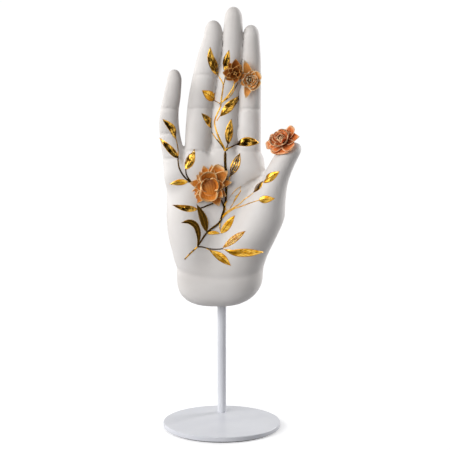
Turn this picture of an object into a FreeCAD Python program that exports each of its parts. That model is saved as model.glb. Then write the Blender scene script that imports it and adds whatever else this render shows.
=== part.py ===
import FreeCAD, Part

import math
import os

from FreeCAD import Placement, Rotation, Vector

# Ceramic hand with applied blossoms, standing on a steel rod and a round plate.
# Millimetres. +X is right, +Y is away from the palm, +Z is up. The origin is the centre of the underside.

# Stand
PLATE_DIAMETER = 84.0
PLATE_THICKNESS = 3.5
PLATE_EDGE_RADIUS = 0.6
PAD_DIAMETER = 79.0
PAD_THICKNESS = 1.0
ROD_DIAMETER = 6.4
ROD_BEHIND_CENTRE = 25.0
ROD_FREE_HEIGHT = 80.0
ROD_GRIP_LENGTH = 44.0
ROD_TOP_CHAMFER = 0.8

# Countersunk screw that holds the rod to the plate
SCREW_THREAD_DIAMETER = 4.0
SCREW_LENGTH = 14.0
SCREW_HEAD_DIAMETER = 7.6
SCREW_HEAD_HEIGHT = 2.2
SCREW_SOCKET_ACROSS_FLATS = 2.5
SCREW_SOCKET_DEPTH = 1.3
SCREW_TIP_ROOM = 2.0

# Sleeve, tube and plug that carry the hand on the rod
RUNNING_CLEARANCE = 0.05
GLUE_GAP = 0.1
SLEEVE_WALL = 0.9
SLEEVE_TOP_THICKNESS = 1.5
TUBE_WALL = 0.8
TUBE_STOP_THICKNESS = 3.0
TUBE_LIP = 0.6
PLUG_HEIGHT = 30.0
PLUG_GAP = 0.4

# Porcelain hand
HAND_WALL = 4.0
WRIST_WIDTH = 61.5
WRIST_DEPTH = 41.0
WRIST_CORNER_WIDTH = 22.0
WRIST_CORNER_HEIGHT = 20.0
PALM_WIDTH = 70.5
PALM_DEPTH = 30.0
PALM_LENGTH = 116.5
SECTION_ROUNDNESS = 2.5
SECTION_POINTS = 24
PALM_POINTS = 60
SKIN_DEGREE = 3
SKIN_TOLERANCE = 0.001
FOOT_OUT_SHARES = (0.0, 0.35, 0.75, 1.0)
FOOT_UP_SHARES = (0.0, 0.0, 0.16, 0.55)

# Palm sections above the wrist's rounded foot, as shares of PALM_LENGTH, PALM_WIDTH and PALM_DEPTH
PALM_ROWS = 25
CROWN_ROWS = 5
CROWN_SHARE = 0.9
PALM_HEIGHT_SHARES = (0.0, 0.15, 0.219, 0.279, 0.343, 0.437, 0.536, 0.66, 0.79, 0.89, 1.0)
PALM_LEFT_SHARES = (-0.424, -0.43, -0.445, -0.468, -0.496, -0.537, -0.56, -0.562, -0.566, -0.576, -0.584)
PALM_RIGHT_SHARES = (0.345, 0.4, 0.41, 0.416, 0.414, 0.41, 0.412, 0.42, 0.43, 0.435, 0.42)
PALM_HALF_DEPTH_SHARES = (0.682, 0.68, 0.655, 0.64, 0.62, 0.575, 0.535, 0.48, 0.43, 0.377, 0.32)
PALM_FORWARD_SHARES = (0.0, 0.0, 0.01, 0.025, 0.037, 0.04, 0.04, 0.02, 0.007, -0.007, -0.02)
HOLLOW_TOP_SHARE = 0.89
PLUG_SHARE = 0.34

# Swells and hollows of the palm's two sides: place across and up, reach across and up, and rise, as shares of
# PALM_WIDTH, PALM_LENGTH, PALM_WIDTH, PALM_LENGTH and PALM_DEPTH
PALM_FRONT_SHARES = (
    (-0.48, 0.41, 0.255, 0.3, 0.22),
    (-0.32, 0.62, 0.13, 0.15, 0.05),
    (0.09, 0.36, 0.1, 0.13, 0.04),
    (-0.043, 0.648, 0.213, 0.206, -0.087),
    (0.37, 0.888, 0.15, 0.08, 0.14),
    (0.014, 0.91, 0.12, 0.07, 0.05),
    (-0.26, 0.88, 0.128, 0.086, 0.06),
    (-0.54, 0.86, 0.128, 0.08, 0.14),
    (-0.43, 0.2, 0.1, 0.1, 0.05),
)
PALM_BACK_SHARES = (
    (0.28, 0.935, 0.09, 0.055, 0.06),
    (0.02, 0.935, 0.09, 0.055, 0.06),
    (-0.25, 0.935, 0.09, 0.055, 0.06),
    (-0.46, 0.91, 0.09, 0.055, 0.07),
    (-0.52, 0.36, 0.1, 0.2, -0.045),
)

# Fingers: the root is in the palm, at shares of PALM_WIDTH and PALM_LENGTH from the rod's axis
TIP_ROUND_SHARE = 0.66
TIP_STEP_SHARES = (0.38, 0.78, 1.0, 1.0)
TIP_WIDTH_SHARES = (0.97, 0.78, 0.42, 0.1)
INDEX_LENGTH = 103.0
INDEX_WIDTH = 17.8
MIDDLE_LENGTH = 116.0
MIDDLE_WIDTH = 20.1
RING_LENGTH = 107.0
RING_WIDTH = 18.9
LITTLE_LENGTH = 75.5
LITTLE_WIDTH = 16.8

# Thumb, from the heel of the palm to its tip. Places are shares of THUMB_LENGTH from the wrist's foot
THUMB_LENGTH = 104.0
THUMB_WIDTH = 30.0
THUMB_ACROSS_SHARES = (0.1, 0.106, 0.13, 0.159, 0.197, 0.272, 0.308, 0.354, 0.393, 0.43)
THUMB_FORWARD_SHARES = (0.0, 0.01, 0.036, 0.061, 0.085, 0.104, 0.115, 0.133, 0.143, 0.152)
THUMB_UP_SHARES = (0.13, 0.226, 0.322, 0.409, 0.505, 0.639, 0.755, 0.885, 0.976, 1.045)
THUMB_WIDTH_SHARES = (0.42, 0.54, 0.59, 0.625, 0.64, 0.565, 0.455, 0.345, 0.318, 0.302)
THUMB_DEPTH_SHARES = (0.3, 0.42, 0.49, 0.52, 0.53, 0.5, 0.44, 0.352, 0.32, 0.302)
THUMB_CAVITY_STATIONS = 7

# Blossoms: petals stand on stacked round discs, and the lowest disc sits in a spot face
SEAT_DEPTH = 0.8
SEAT_CLEARANCE = 0.1
PETAL_THICKNESS = 0.8
DISC_HEIGHT = 1.5
PETAL_ROOT_SHARE = 0.7
PETAL_NOTCH_SHARE = 0.62
PETAL_BULGE_SHARE = 0.87
PETAL_BULGE_TURN_SHARE = 0.3
PETAL_SAG_SHARE = 0.28
INNER_DISC_SHARE = 0.68
BUD_WIDTH_SHARE = 0.36
BUD_HEIGHT_SHARE = 0.52
BUD_LOBES = 5
BUD_LOBE_SHARE = 0.09
BUD_TWIST_DEGREES = 75.0
BUD_STEP_SHARES = (0.0, 0.18, 0.42, 0.66, 0.86, 1.0)
BUD_RADIUS_SHARES = (0.62, 0.88, 1.0, 0.86, 0.52, 0.1)
BUD_SEAM_POINTS = 40

PALM_BLOSSOM_RADIUS = 14.0
PALM_BLOSSOM_DISC = 6.4
PALM_BLOSSOM_COLLAR = 0.4
PALM_BLOSSOM_ACROSS = -7.7
PALM_BLOSSOM_UP = 91.0
THUMB_BLOSSOM_RADIUS = 12.5
THUMB_BLOSSOM_DISC = 5.4
THUMB_BLOSSOM_COLLAR = 1.8
FINGER_BLOSSOM_RADIUS = 6.6
FINGER_BLOSSOM_DISC = 4.0
MIDDLE_BLOSSOM_COLLAR = 2.2
INDEX_BLOSSOM_COLLAR = 1.0
MIDDLE_BLOSSOM_SHARE = 0.555
MIDDLE_BLOSSOM_ASIDE_SHARE = 0.3
INDEX_BLOSSOM_SHARE = 0.57
INDEX_BLOSSOM_ASIDE_SHARE = 0.0

# Levels and places that follow from the sizes
PLATE_BOTTOM = PAD_THICKNESS
PLATE_TOP = PLATE_BOTTOM + PLATE_THICKNESS
ROD_AXIS = Vector(0, ROD_BEHIND_CENTRE, 0)
WRIST_FOOT = PLATE_TOP + ROD_FREE_HEIGHT
ROD_TOP = WRIST_FOOT + ROD_GRIP_LENGTH
ROD_RADIUS = ROD_DIAMETER / 2
SLEEVE_BORE_RADIUS = ROD_RADIUS + RUNNING_CLEARANCE
SLEEVE_RADIUS = SLEEVE_BORE_RADIUS + SLEEVE_WALL
TUBE_BORE_RADIUS = SLEEVE_RADIUS + RUNNING_CLEARANCE
TUBE_RADIUS = TUBE_BORE_RADIUS + TUBE_WALL
TUBE_TOP = ROD_TOP + SLEEVE_TOP_THICKNESS + TUBE_STOP_THICKNESS
HAND_FRAME = Vector(0, ROD_BEHIND_CENTRE, WRIST_FOOT)
FORWARD = Vector(0, -1, 0)
ACROSS = Vector(1, 0, 0)
UP = Vector(0, 0, 1)


def in_hand(across, forward, up):
    """Point given from the rod's axis at the wrist's foot: to the right, towards the palm's side, and up."""
    return HAND_FRAME + ACROSS * across + FORWARD * forward + UP * up


def cylinder(radius, bottom, top, axis=ROD_AXIS):
    return Part.makeCylinder(radius, top - bottom, Vector(axis.x, axis.y, bottom))


def superellipse_points(half_width, half_depth, count=SECTION_POINTS):
    """Points round a rounded oblong, as (across, forward) pairs."""
    pairs = []
    power = 2 / SECTION_ROUNDNESS
    for i in range(count):
        angle = 2 * math.pi * i / count
        c, s = math.cos(angle), math.sin(angle)
        pairs.append((
            half_width * math.copysign(abs(c) ** power, c),
            half_depth * math.copysign(abs(s) ** power, s),
        ))
    return pairs


def skin(rows):
    """Solid with one smooth skin drawn by rows of points, flat at the first and the last row."""
    last = len(rows) - SKIN_DEGREE
    around = len(rows[0])
    surface = Part.BSplineSurface()
    surface.buildFromPolesMultsKnots(
        rows,
        [SKIN_DEGREE + 1] + [1] * (last - 1) + [SKIN_DEGREE + 1], [1] * (around + 1),
        [float(i) for i in range(last + 1)], [float(i) for i in range(around + 1)],
        False, True, SKIN_DEGREE, SKIN_DEGREE,
    )
    side = surface.toShape()
    rims = [edge for edge in side.Edges if edge.isClosed()]
    shell = Part.makeShell([side] + [Part.Face(Part.Wire([rim])) for rim in rims])
    shell.sewShape()
    solid = Part.makeSolid(shell)
    solid.fix(SKIN_TOLERANCE, SKIN_TOLERANCE, SKIN_TOLERANCE)
    return solid if solid.Volume > 0 else solid.reversed()


def along(share, steps, *tables):
    """Each table read between its steps at a share."""
    share = min(max(share, steps[0]), steps[-1])
    i = max(n for n in range(len(steps) - 1) if steps[n] <= share)
    t = (share - steps[i]) / (steps[i + 1] - steps[i])
    return [table[i] + (table[i + 1] - table[i]) * t for table in tables]


def palm_section(share_of_length, inset):
    """Left and right edge, half depth and forward place of the palm at a share of its length."""
    left, right, half_depth, forward = along(
        share_of_length, PALM_HEIGHT_SHARES,
        PALM_LEFT_SHARES, PALM_RIGHT_SHARES, PALM_HALF_DEPTH_SHARES, PALM_FORWARD_SHARES,
    )
    edges = PALM_WIDTH * left + inset, PALM_WIDTH * right - inset
    return *edges, PALM_DEPTH * half_depth - inset, PALM_DEPTH * forward


def palm_swell(across, up, swells=PALM_FRONT_SHARES):
    """How far the palm stands out over its plain section: a bell for each swell or hollow."""
    rise = 0.0
    for across_share, up_share, reach_across, reach_up, rise_share in swells:
        a = (across / PALM_WIDTH - across_share) / reach_across
        u = (up / PALM_LENGTH - up_share) / reach_up
        rise += PALM_DEPTH * rise_share * math.exp(-a * a - u * u)
    return rise


def palm_row(up, left, right, half_depth, forward):
    """Rounded oblong row across the palm, with its front and back swelled."""
    middle, half_width = (left + right) / 2, (right - left) / 2
    row = []
    for a, f in superellipse_points(half_width, half_depth, PALM_POINTS):
        across = middle + a
        front, back = min(1, max(0, 2 * f / half_depth)), min(1, max(0, -2 * f / half_depth))
        swell = front * palm_swell(across, up) - back * palm_swell(across, up, PALM_BACK_SHARES)
        row.append(in_hand(across, forward + f + swell, up))
    return row


def palm_form(inset=0.0, top_share=1.0):
    """The palm and wrist with a rounded foot and crown, drawn in by inset all round."""
    rows = []
    corner_height = WRIST_CORNER_HEIGHT - inset
    for out_share, up_share in zip(FOOT_OUT_SHARES, FOOT_UP_SHARES):
        up = inset + corner_height * up_share
        left, right, half_depth, forward = palm_section(up / PALM_LENGTH, inset)
        draw_in = (WRIST_CORNER_WIDTH - inset) * (1 - out_share)
        rows.append(palm_row(up, left + draw_in, right - draw_in,
                             half_depth - draw_in * WRIST_DEPTH / WRIST_WIDTH, forward))
    first = PALM_HEIGHT_SHARES[1]
    for k in range(PALM_ROWS):
        share = first + (CROWN_SHARE - first) * k / (PALM_ROWS - 1)
        if share <= top_share:
            rows.append(palm_row(PALM_LENGTH * share, *palm_section(share, inset)))
    if top_share < 1:
        return skin(rows)
    for k in range(CROWN_ROWS):
        turn = math.pi / 2 * (k + 1) / (CROWN_ROWS + 1)
        share = CROWN_SHARE + (1 - CROWN_SHARE) * math.sin(turn)
        left, right, half_depth, forward = palm_section(share, inset)
        draw_in = half_depth * (1 - math.cos(turn))
        rows.append(palm_row(PALM_LENGTH * share, left + draw_in, right - draw_in,
                             half_depth - draw_in, forward))
    return skin(rows)


def limb_row(centre, half_width, half_depth):
    """Level oval row across a limb."""
    row = []
    for i in range(SECTION_POINTS):
        turn = 2 * math.pi * i / SECTION_POINTS
        row.append(centre + ACROSS * (half_width * math.cos(turn)) + FORWARD * (half_depth * math.sin(turn)))
    return row


def limb(centres, half_widths, half_depths):
    """A tapering limb through the given centres, closed by a rounded tip past the last one."""
    rows = [limb_row(*station) for station in zip(centres, half_widths, half_depths)]
    last = len(centres) - 1
    heading = centres[last] - centres[last - 1]
    heading = heading * (1 / heading.z)
    reach = tip_reach(half_widths[last], half_depths[last])
    for step, width in zip(TIP_STEP_SHARES, TIP_WIDTH_SHARES):
        rows.append(limb_row(centres[last] + heading * (reach * step),
                             half_widths[last] * width, half_depths[last] * width))
    return skin(rows)


def tip_reach(half_width, half_depth):
    """Length of the rounded tip past the last station."""
    return (half_width + half_depth) / 2 / TIP_ROUND_SHARE


class Finger:
    """A finger from its root in the palm: stations, lean, bend and taper are shares of its own sizes."""

    def __init__(self, length, width, root_across, root_up,
                 station_shares, lean_shares, bend_shares, width_shares, depth_share=0.98):
        self.length, self.width = length, width
        self.root_across, self.root_up, self.station_shares = root_across, root_up, station_shares
        self.lean_shares, self.bend_shares, self.width_shares = lean_shares, bend_shares, width_shares
        self.depth_share = depth_share

    def centre(self, lean_share, bend_share, station_share):
        return in_hand(
            self.root_across + self.length * lean_share,
            self.length * bend_share,
            self.root_up + self.length * station_share,
        )

    def form(self):
        halves = [self.width / 2 * share for share in self.width_shares]
        places = zip(self.lean_shares, self.bend_shares, self.station_shares)
        return limb([self.centre(*place) for place in places], halves, [h * self.depth_share for h in halves])

    def front_point(self, share, aside_share):
        """Point of the finger's palm side: a share of its length up, and a share of its half width aside."""
        tables = self.lean_shares, self.bend_shares, self.width_shares
        lean, bend, width = along(share, self.station_shares, *tables)
        half = self.width / 2 * width
        rise = half * self.depth_share * math.sqrt(1 - aside_share ** 2)
        return self.centre(lean, bend, share) + FORWARD * rise + ACROSS * (half * aside_share)


INDEX = Finger(
    INDEX_LENGTH, INDEX_WIDTH, PALM_WIDTH * 0.271, PALM_LENGTH * 0.858,
    (0.0, 0.193, 0.398, 0.591, 0.753, 0.915),
    (0.0, 0.003, 0.007, 0.013, 0.017, 0.017), (0.014, -0.004, -0.029, -0.039, -0.043, -0.041),
    (0.99, 0.966, 0.92, 0.864, 0.796, 0.67),
)
MIDDLE = Finger(
    MIDDLE_LENGTH, MIDDLE_WIDTH, PALM_WIDTH * 0.021, PALM_LENGTH * 0.858,
    (0.0, 0.194, 0.399, 0.594, 0.756, 0.916),
    (0.0, 0.003, 0.009, 0.031, 0.05, 0.059), (0.012, -0.007, -0.033, -0.033, -0.036, -0.038),
    (0.96, 0.949, 0.939, 0.859, 0.768, 0.646),
)
RING = Finger(
    RING_LENGTH, RING_WIDTH, PALM_WIDTH * -0.248, PALM_LENGTH * 0.858,
    (0.0, 0.19, 0.351, 0.444, 0.58, 0.668, 0.78, 0.897),
    (0.0, 0.006, 0.013, 0.021, 0.045, 0.062, 0.085, 0.108),
    (0.013, -0.002, -0.026, -0.034, -0.022, -0.021, -0.028, -0.034),
    (0.968, 1.0, 0.978, 0.968, 0.957, 0.935, 0.871, 0.699),
)
LITTLE = Finger(
    LITTLE_LENGTH, LITTLE_WIDTH, PALM_WIDTH * -0.454, PALM_LENGTH * 0.833,
    (0.0, 0.189, 0.391, 0.58, 0.738, 0.891),
    (0.0, -0.036, -0.074, -0.078, -0.048, -0.021), (0.013, 0.0, 0.005, 0.032, 0.056, 0.077),
    (1.0, 0.963, 0.89, 0.805, 0.756, 0.634),
)


def thumb_centres():
    return [
        in_hand(THUMB_LENGTH * a, THUMB_LENGTH * f, THUMB_LENGTH * u)
        for a, f, u in zip(THUMB_ACROSS_SHARES, THUMB_FORWARD_SHARES, THUMB_UP_SHARES)
    ]


def thumb_form(inset=0.0, stations=None):
    """The thumb and its ball, drawn in by inset all round, up to a number of stations."""
    widths = [THUMB_WIDTH * share - inset for share in THUMB_WIDTH_SHARES[:stations]]
    depths = [THUMB_WIDTH * share - inset for share in THUMB_DEPTH_SHARES[:stations]]
    return limb(thumb_centres()[:stations], widths, depths)


class Seat:
    """Where a blossom sits: a point on the hand's surface and the way the blossom faces."""

    def __init__(self, point, facing, spin_degrees=0.0):
        self.facing = facing.normalize()
        self.point = point
        turn = Rotation(UP, self.facing)
        spin = Rotation(UP, spin_degrees)
        self.placement = Placement(point - self.facing * SEAT_DEPTH, turn.multiply(spin))

    def spot_face(self, disc_diameter):
        """Tool that cuts the flat round recess under the blossom's lowest disc, and clears above it."""
        cutter = Part.makeCylinder(disc_diameter / 2 + SEAT_CLEARANCE, disc_diameter)
        cutter.Placement = self.placement
        return cutter


def palm_front_point(across, up):
    left, right, half_depth, forward = palm_section(up / PALM_LENGTH, 0.0)
    reach = abs(across - (left + right) / 2) / ((right - left) / 2)
    rise = half_depth * (1 - reach ** SECTION_ROUNDNESS) ** (1 / SECTION_ROUNDNESS)
    return in_hand(across, forward + rise + palm_swell(across, up), up)


def thumb_pad_point(facing):
    """Point of the thumb's last section that lies towards the blossom's facing."""
    return thumb_centres()[-1] + facing * (THUMB_WIDTH * THUMB_WIDTH_SHARES[-1])


def petal_outline(count, radius, turn_degrees):
    """Rosette outline: pointed petals that meet in notches."""
    step = 2 * math.pi / count
    turn = math.radians(turn_degrees)

    def spot(share, angle):
        return Vector(radius * share * math.cos(angle + turn), radius * share * math.sin(angle + turn), 0)

    edges = []
    for i in range(count):
        tip, notch = i * step, (i + 0.5) * step
        edges.append(Part.Arc(spot(1, tip), spot(PETAL_BULGE_SHARE, tip + step * PETAL_BULGE_TURN_SHARE),
                              spot(PETAL_NOTCH_SHARE, notch)).toShape())
        edges.append(Part.Arc(spot(PETAL_NOTCH_SHARE, notch),
                              spot(PETAL_BULGE_SHARE, tip + step * (1 - PETAL_BULGE_TURN_SHARE)),
                              spot(1, tip + step)).toShape())
    return Part.Wire(edges)


def petal_ring(count, radius, rise, disc_diameter, bottom, turn_degrees=0.0):
    """A thin bowl that rises from a disc to its rim, scalloped into petals."""
    inner = disc_diameter / 2 * PETAL_ROOT_SHARE
    middle = (inner + radius) / 2
    low, high = bottom + DISC_HEIGHT - PETAL_THICKNESS, bottom + DISC_HEIGHT - PETAL_THICKNESS + rise
    lift = UP * PETAL_THICKNESS
    curve = [Vector(inner, 0, low), Vector(middle, 0, low + rise * PETAL_SAG_SHARE), Vector(radius, 0, high)]
    profile = Part.Wire([
        Part.Arc(*curve).toShape(),
        Part.LineSegment(curve[2], curve[2] + lift).toShape(),
        Part.Arc(*[v + lift for v in reversed(curve)]).toShape(),
        Part.LineSegment(curve[0] + lift, curve[0]).toShape(),
    ])
    bowl = Part.Face(profile).revolve(Vector(0, 0, 0), UP, 360)
    outline = petal_outline(count, radius * 0.999, turn_degrees)
    prism = Part.Face(outline).extrude(UP * (high + 2 * DISC_HEIGHT))
    disc = Part.makeCylinder(disc_diameter / 2, DISC_HEIGHT, Vector(0, 0, bottom))
    return bowl.common(prism).fuse(disc)


def bud(radius, height, bottom):
    """A closed bud whose petals wind round it: a lobed section that turns as it rises."""
    rows = []
    for step, share in zip(BUD_STEP_SHARES, BUD_RADIUS_SHARES):
        twist = math.radians(BUD_TWIST_DEGREES * step)
        row = []
        for i in range(BUD_SEAM_POINTS):
            angle = 2 * math.pi * i / BUD_SEAM_POINTS
            r = radius * share * (1 + BUD_LOBE_SHARE * math.cos(BUD_LOBES * angle))
            turn = angle + twist
            row.append(Vector(r * math.cos(turn), r * math.sin(turn), bottom + height * step))
        rows.append(row)
    return skin(rows)


class Blossom:
    """A blossom in its own frame, facing +Z with its seat at the origin."""

    def __init__(self, name, seat, radius, disc, collar, outer, inner):
        self.name, self.seat, self.radius, self.disc, self.collar = name, seat, radius, disc, collar
        self.outer, self.inner = outer, inner

    def parts(self):
        base = SEAT_DEPTH + self.collar
        lower = Part.makeCylinder(self.disc / 2, base)
        count, reach, rise = self.outer
        outer = petal_ring(count, self.radius * reach, self.radius * rise, self.disc, base).fuse(lower)
        turn = 180 / count
        count, reach, rise = self.inner
        inner = petal_ring(count, self.radius * reach, self.radius * rise, self.disc * INNER_DISC_SHARE,
                           base + DISC_HEIGHT, turn)
        heart = bud(self.disc * BUD_WIDTH_SHARE, self.radius * BUD_HEIGHT_SHARE, base + 2 * DISC_HEIGHT)
        made = {"outer_petals": outer, "inner_petals": inner, "bud": heart}
        for shape in made.values():
            shape.Placement = self.seat.placement
        return {f"{self.name}_{key}": shape for key, shape in made.items()}


PALM_SEAT = Seat(palm_front_point(PALM_BLOSSOM_ACROSS, PALM_BLOSSOM_UP), Vector(-0.04, -1.0, 0.03), 12)
THUMB_FACING = Vector(-0.42, -0.62, 0.66).normalize()
THUMB_SEAT = Seat(thumb_pad_point(THUMB_FACING), THUMB_FACING, 20)
MIDDLE_POINT = MIDDLE.front_point(MIDDLE_BLOSSOM_SHARE, MIDDLE_BLOSSOM_ASIDE_SHARE)
MIDDLE_SEAT = Seat(MIDDLE_POINT, Vector(-0.2, -1.0, 0.22), 30)
INDEX_POINT = INDEX.front_point(INDEX_BLOSSOM_SHARE, INDEX_BLOSSOM_ASIDE_SHARE)
INDEX_SEAT = Seat(INDEX_POINT, Vector(0.2, -1.0, -0.1), 0)

BLOSSOMS = [
    Blossom("palm_blossom", PALM_SEAT,
            PALM_BLOSSOM_RADIUS, PALM_BLOSSOM_DISC, PALM_BLOSSOM_COLLAR,
            (8, 1.0, 0.26), (6, 0.78, 0.46)),
    Blossom("thumb_blossom", THUMB_SEAT,
            THUMB_BLOSSOM_RADIUS, THUMB_BLOSSOM_DISC, THUMB_BLOSSOM_COLLAR,
            (7, 1.0, 0.28), (5, 0.76, 0.48)),
    Blossom("middle_finger_blossom", MIDDLE_SEAT,
            FINGER_BLOSSOM_RADIUS, FINGER_BLOSSOM_DISC, MIDDLE_BLOSSOM_COLLAR,
            (6, 1.0, 0.34), (5, 0.76, 0.58)),
    Blossom("index_finger_blossom", INDEX_SEAT,
            FINGER_BLOSSOM_RADIUS, FINGER_BLOSSOM_DISC, INDEX_BLOSSOM_COLLAR,
            (6, 1.0, 0.34), (5, 0.76, 0.58)),
]


def hand_shell():
    """Slip-cast hand: one closed skin, hollow in the palm, wrist and ball of the thumb."""
    fingers = [finger.form() for finger in (INDEX, MIDDLE, RING, LITTLE)]
    outer = palm_form().fuse(fingers + [thumb_form()])
    hollow = palm_form(HAND_WALL, HOLLOW_TOP_SHARE).fuse(thumb_form(HAND_WALL, THUMB_CAVITY_STATIONS))
    shell = outer.cut(hollow)
    hole = cylinder(TUBE_RADIUS + GLUE_GAP, WRIST_FOOT - HAND_WALL, WRIST_FOOT + 2 * HAND_WALL)
    shell = shell.cut(hole)
    for blossom in BLOSSOMS:
        shell = shell.cut(blossom.seat.spot_face(blossom.disc))
    return shell


def wrist_plug():
    """Cast plug that fills the foot of the hollow and holds the tube."""
    inset = HAND_WALL + PLUG_GAP
    form = palm_form(inset, PLUG_SHARE)
    plug_bottom = WRIST_FOOT + inset
    slab = Part.makeBox(2 * WRIST_WIDTH, 2 * WRIST_WIDTH, PLUG_HEIGHT,
                        Vector(-WRIST_WIDTH, ROD_BEHIND_CENTRE - WRIST_WIDTH, plug_bottom))
    bore = cylinder(TUBE_RADIUS + GLUE_GAP, plug_bottom, plug_bottom + PLUG_HEIGHT)
    return form.common(slab).cut(bore)


def socket_tube():
    """Brass tube glued in the plug, open at the foot."""
    return cylinder(TUBE_RADIUS, WRIST_FOOT + TUBE_LIP, TUBE_TOP).cut(
        cylinder(TUBE_BORE_RADIUS, WRIST_FOOT + TUBE_LIP, TUBE_TOP)
    )


def tube_stop():
    """Disc that closes the tube and rests on the sleeve."""
    return cylinder(TUBE_BORE_RADIUS, TUBE_TOP - TUBE_STOP_THICKNESS, TUBE_TOP)


def turning_sleeve():
    """Nylon cap on the rod's end, which the hand turns with and lifts off."""
    outside = cylinder(SLEEVE_RADIUS, WRIST_FOOT + 2 * TUBE_LIP, ROD_TOP + SLEEVE_TOP_THICKNESS)
    return outside.cut(cylinder(SLEEVE_BORE_RADIUS, WRIST_FOOT + 2 * TUBE_LIP, ROD_TOP))


def stand_rod():
    rod = cylinder(ROD_RADIUS, PLATE_TOP, ROD_TOP)
    rod = rod.makeChamfer(ROD_TOP_CHAMFER, [e for e in rod.Edges if abs(e.BoundBox.ZMin - ROD_TOP) < 0.01])
    thread_end = PLATE_BOTTOM + SCREW_LENGTH + SCREW_TIP_ROOM
    return rod.cut(cylinder(SCREW_THREAD_DIAMETER / 2 + RUNNING_CLEARANCE, PLATE_TOP, thread_end))


def screw_profile(clearance):
    """Countersunk head and shank along the rod's axis, grown by a clearance."""
    head = Part.makeCone(
        SCREW_HEAD_DIAMETER / 2 + clearance, SCREW_THREAD_DIAMETER / 2 + clearance, SCREW_HEAD_HEIGHT,
        ROD_AXIS + UP * PLATE_BOTTOM,
    )
    shank = cylinder(SCREW_THREAD_DIAMETER / 2 + clearance, PLATE_BOTTOM, PLATE_BOTTOM + SCREW_LENGTH)
    return head.fuse(shank)


def base_plate():
    plate = Part.makeCylinder(PLATE_DIAMETER / 2, PLATE_THICKNESS, UP * PLATE_BOTTOM)
    plate = plate.makeFillet(PLATE_EDGE_RADIUS, [e for e in plate.Edges if e.Closed])
    return plate.cut(screw_profile(GLUE_GAP))


def rod_screw():
    """Countersunk screw with a hexagon socket in its head."""
    radius = SCREW_SOCKET_ACROSS_FLATS / 2 / math.cos(math.pi / 6)
    turns = [math.pi / 3 * i for i in range(7)]
    corners = [ROD_AXIS + Vector(radius * math.cos(t), radius * math.sin(t), PLATE_BOTTOM) for t in turns]
    socket = Part.Face(Part.makePolygon(corners)).extrude(UP * SCREW_SOCKET_DEPTH)
    return screw_profile(0.0).cut(socket)


def foot_pad():
    """Thin non-slip disc stuck under the plate."""
    return Part.makeCylinder(PAD_DIAMETER / 2, PAD_THICKNESS)


def main():
    parts = {
        "foot_pad": foot_pad(),
        "base_plate": base_plate(),
        "stand_rod": stand_rod(),
        "rod_screw": rod_screw(),
        "turning_sleeve": turning_sleeve(),
        "socket_tube": socket_tube(),
        "tube_stop": tube_stop(),
        "wrist_plug": wrist_plug(),
        "hand_shell": hand_shell(),
    }
    for blossom in BLOSSOMS:
        parts.update(blossom.parts())
    os.makedirs("parts", exist_ok=True)
    for name, shape in parts.items():
        print(name, "solids", len(shape.Solids), "valid", shape.isValid(), "volume", round(shape.Volume, 1))
        shape.exportStep(f"parts/{name}.step")


if __name__ == "__main__":
    main()
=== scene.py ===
"""The dressed model of a porcelain hand with applied blossoms and painted gold foliage, on a white stand."""

import logging
import math
from collections.abc import Callable
from dataclasses import dataclass, field
from enum import Enum
from functools import partial
from itertools import product
from typing import NamedTuple

import bpy
import numpy as np
from mathutils import Euler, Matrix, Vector

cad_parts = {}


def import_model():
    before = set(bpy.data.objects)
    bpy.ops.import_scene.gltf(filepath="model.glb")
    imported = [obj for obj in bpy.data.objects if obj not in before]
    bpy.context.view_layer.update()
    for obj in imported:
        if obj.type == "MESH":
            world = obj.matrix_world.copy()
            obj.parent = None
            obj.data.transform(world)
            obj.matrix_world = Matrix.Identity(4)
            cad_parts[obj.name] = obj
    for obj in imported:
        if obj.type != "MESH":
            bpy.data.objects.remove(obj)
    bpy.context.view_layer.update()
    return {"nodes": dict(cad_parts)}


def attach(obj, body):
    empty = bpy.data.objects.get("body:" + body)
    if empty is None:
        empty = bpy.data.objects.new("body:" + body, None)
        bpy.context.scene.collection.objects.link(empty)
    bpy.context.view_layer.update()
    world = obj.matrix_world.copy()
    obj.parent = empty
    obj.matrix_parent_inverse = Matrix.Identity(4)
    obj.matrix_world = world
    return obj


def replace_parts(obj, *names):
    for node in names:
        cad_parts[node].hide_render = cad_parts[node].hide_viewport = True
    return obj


MM = 0.001
LOG = logging.getLogger("porcelain_hand")
Array = np.ndarray
Row = tuple[float, ...]
Pair = tuple[float, float]
Triple = tuple[float, float, float]
Material = bpy.types.Material
Socket = bpy.types.NodeSocket
AddNode = Callable[..., bpy.types.Node]


# Small helpers


def linear(hex_colour: str) -> tuple[float, float, float, float]:
    """Turn an sRGB hex colour into linear red, green, blue and alpha.

    Args:
        hex_colour: Six hex digits with a leading hash.

    Returns:
        The linear colour with alpha 1.
    """
    channels = [int(hex_colour[i : i + 2], 16) / 255 for i in (1, 3, 5)]
    straight = [c / 12.92 if c <= 0.04045 else ((c + 0.055) / 1.055) ** 2.4 for c in channels]
    return (*straight, 1.0)


def unit(vectors: Array) -> Array:
    """Vectors divided by their length, along the last axis."""
    return vectors / np.maximum(np.linalg.norm(vectors, axis=-1, keepdims=True), 1e-12)


def smooth_step(value: Array, low: float, high: float) -> Array:
    """A ramp from 0 at low to 1 at high, level at both ends: 3t^2 - 2t^3."""
    t = np.clip((value - low) / (high - low), 0, 1)
    return t * t * (3 - 2 * t)


def bump(distance: Array, spread: float) -> Array:
    """A bell of height 1: e to the minus (distance / spread) squared."""
    return np.exp(-((distance / spread) ** 2))


def blend_min(a: Array, b: Array, reach: float) -> Array:
    """Join two distance fields: b + (a - b) h - reach * h (1 - h), where h runs from 0 to 1 as b passes a."""
    h = np.clip(0.5 + 0.5 * (b - a) / reach, 0, 1)
    return b + (a - b) * h - reach * h * (1 - h)


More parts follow.
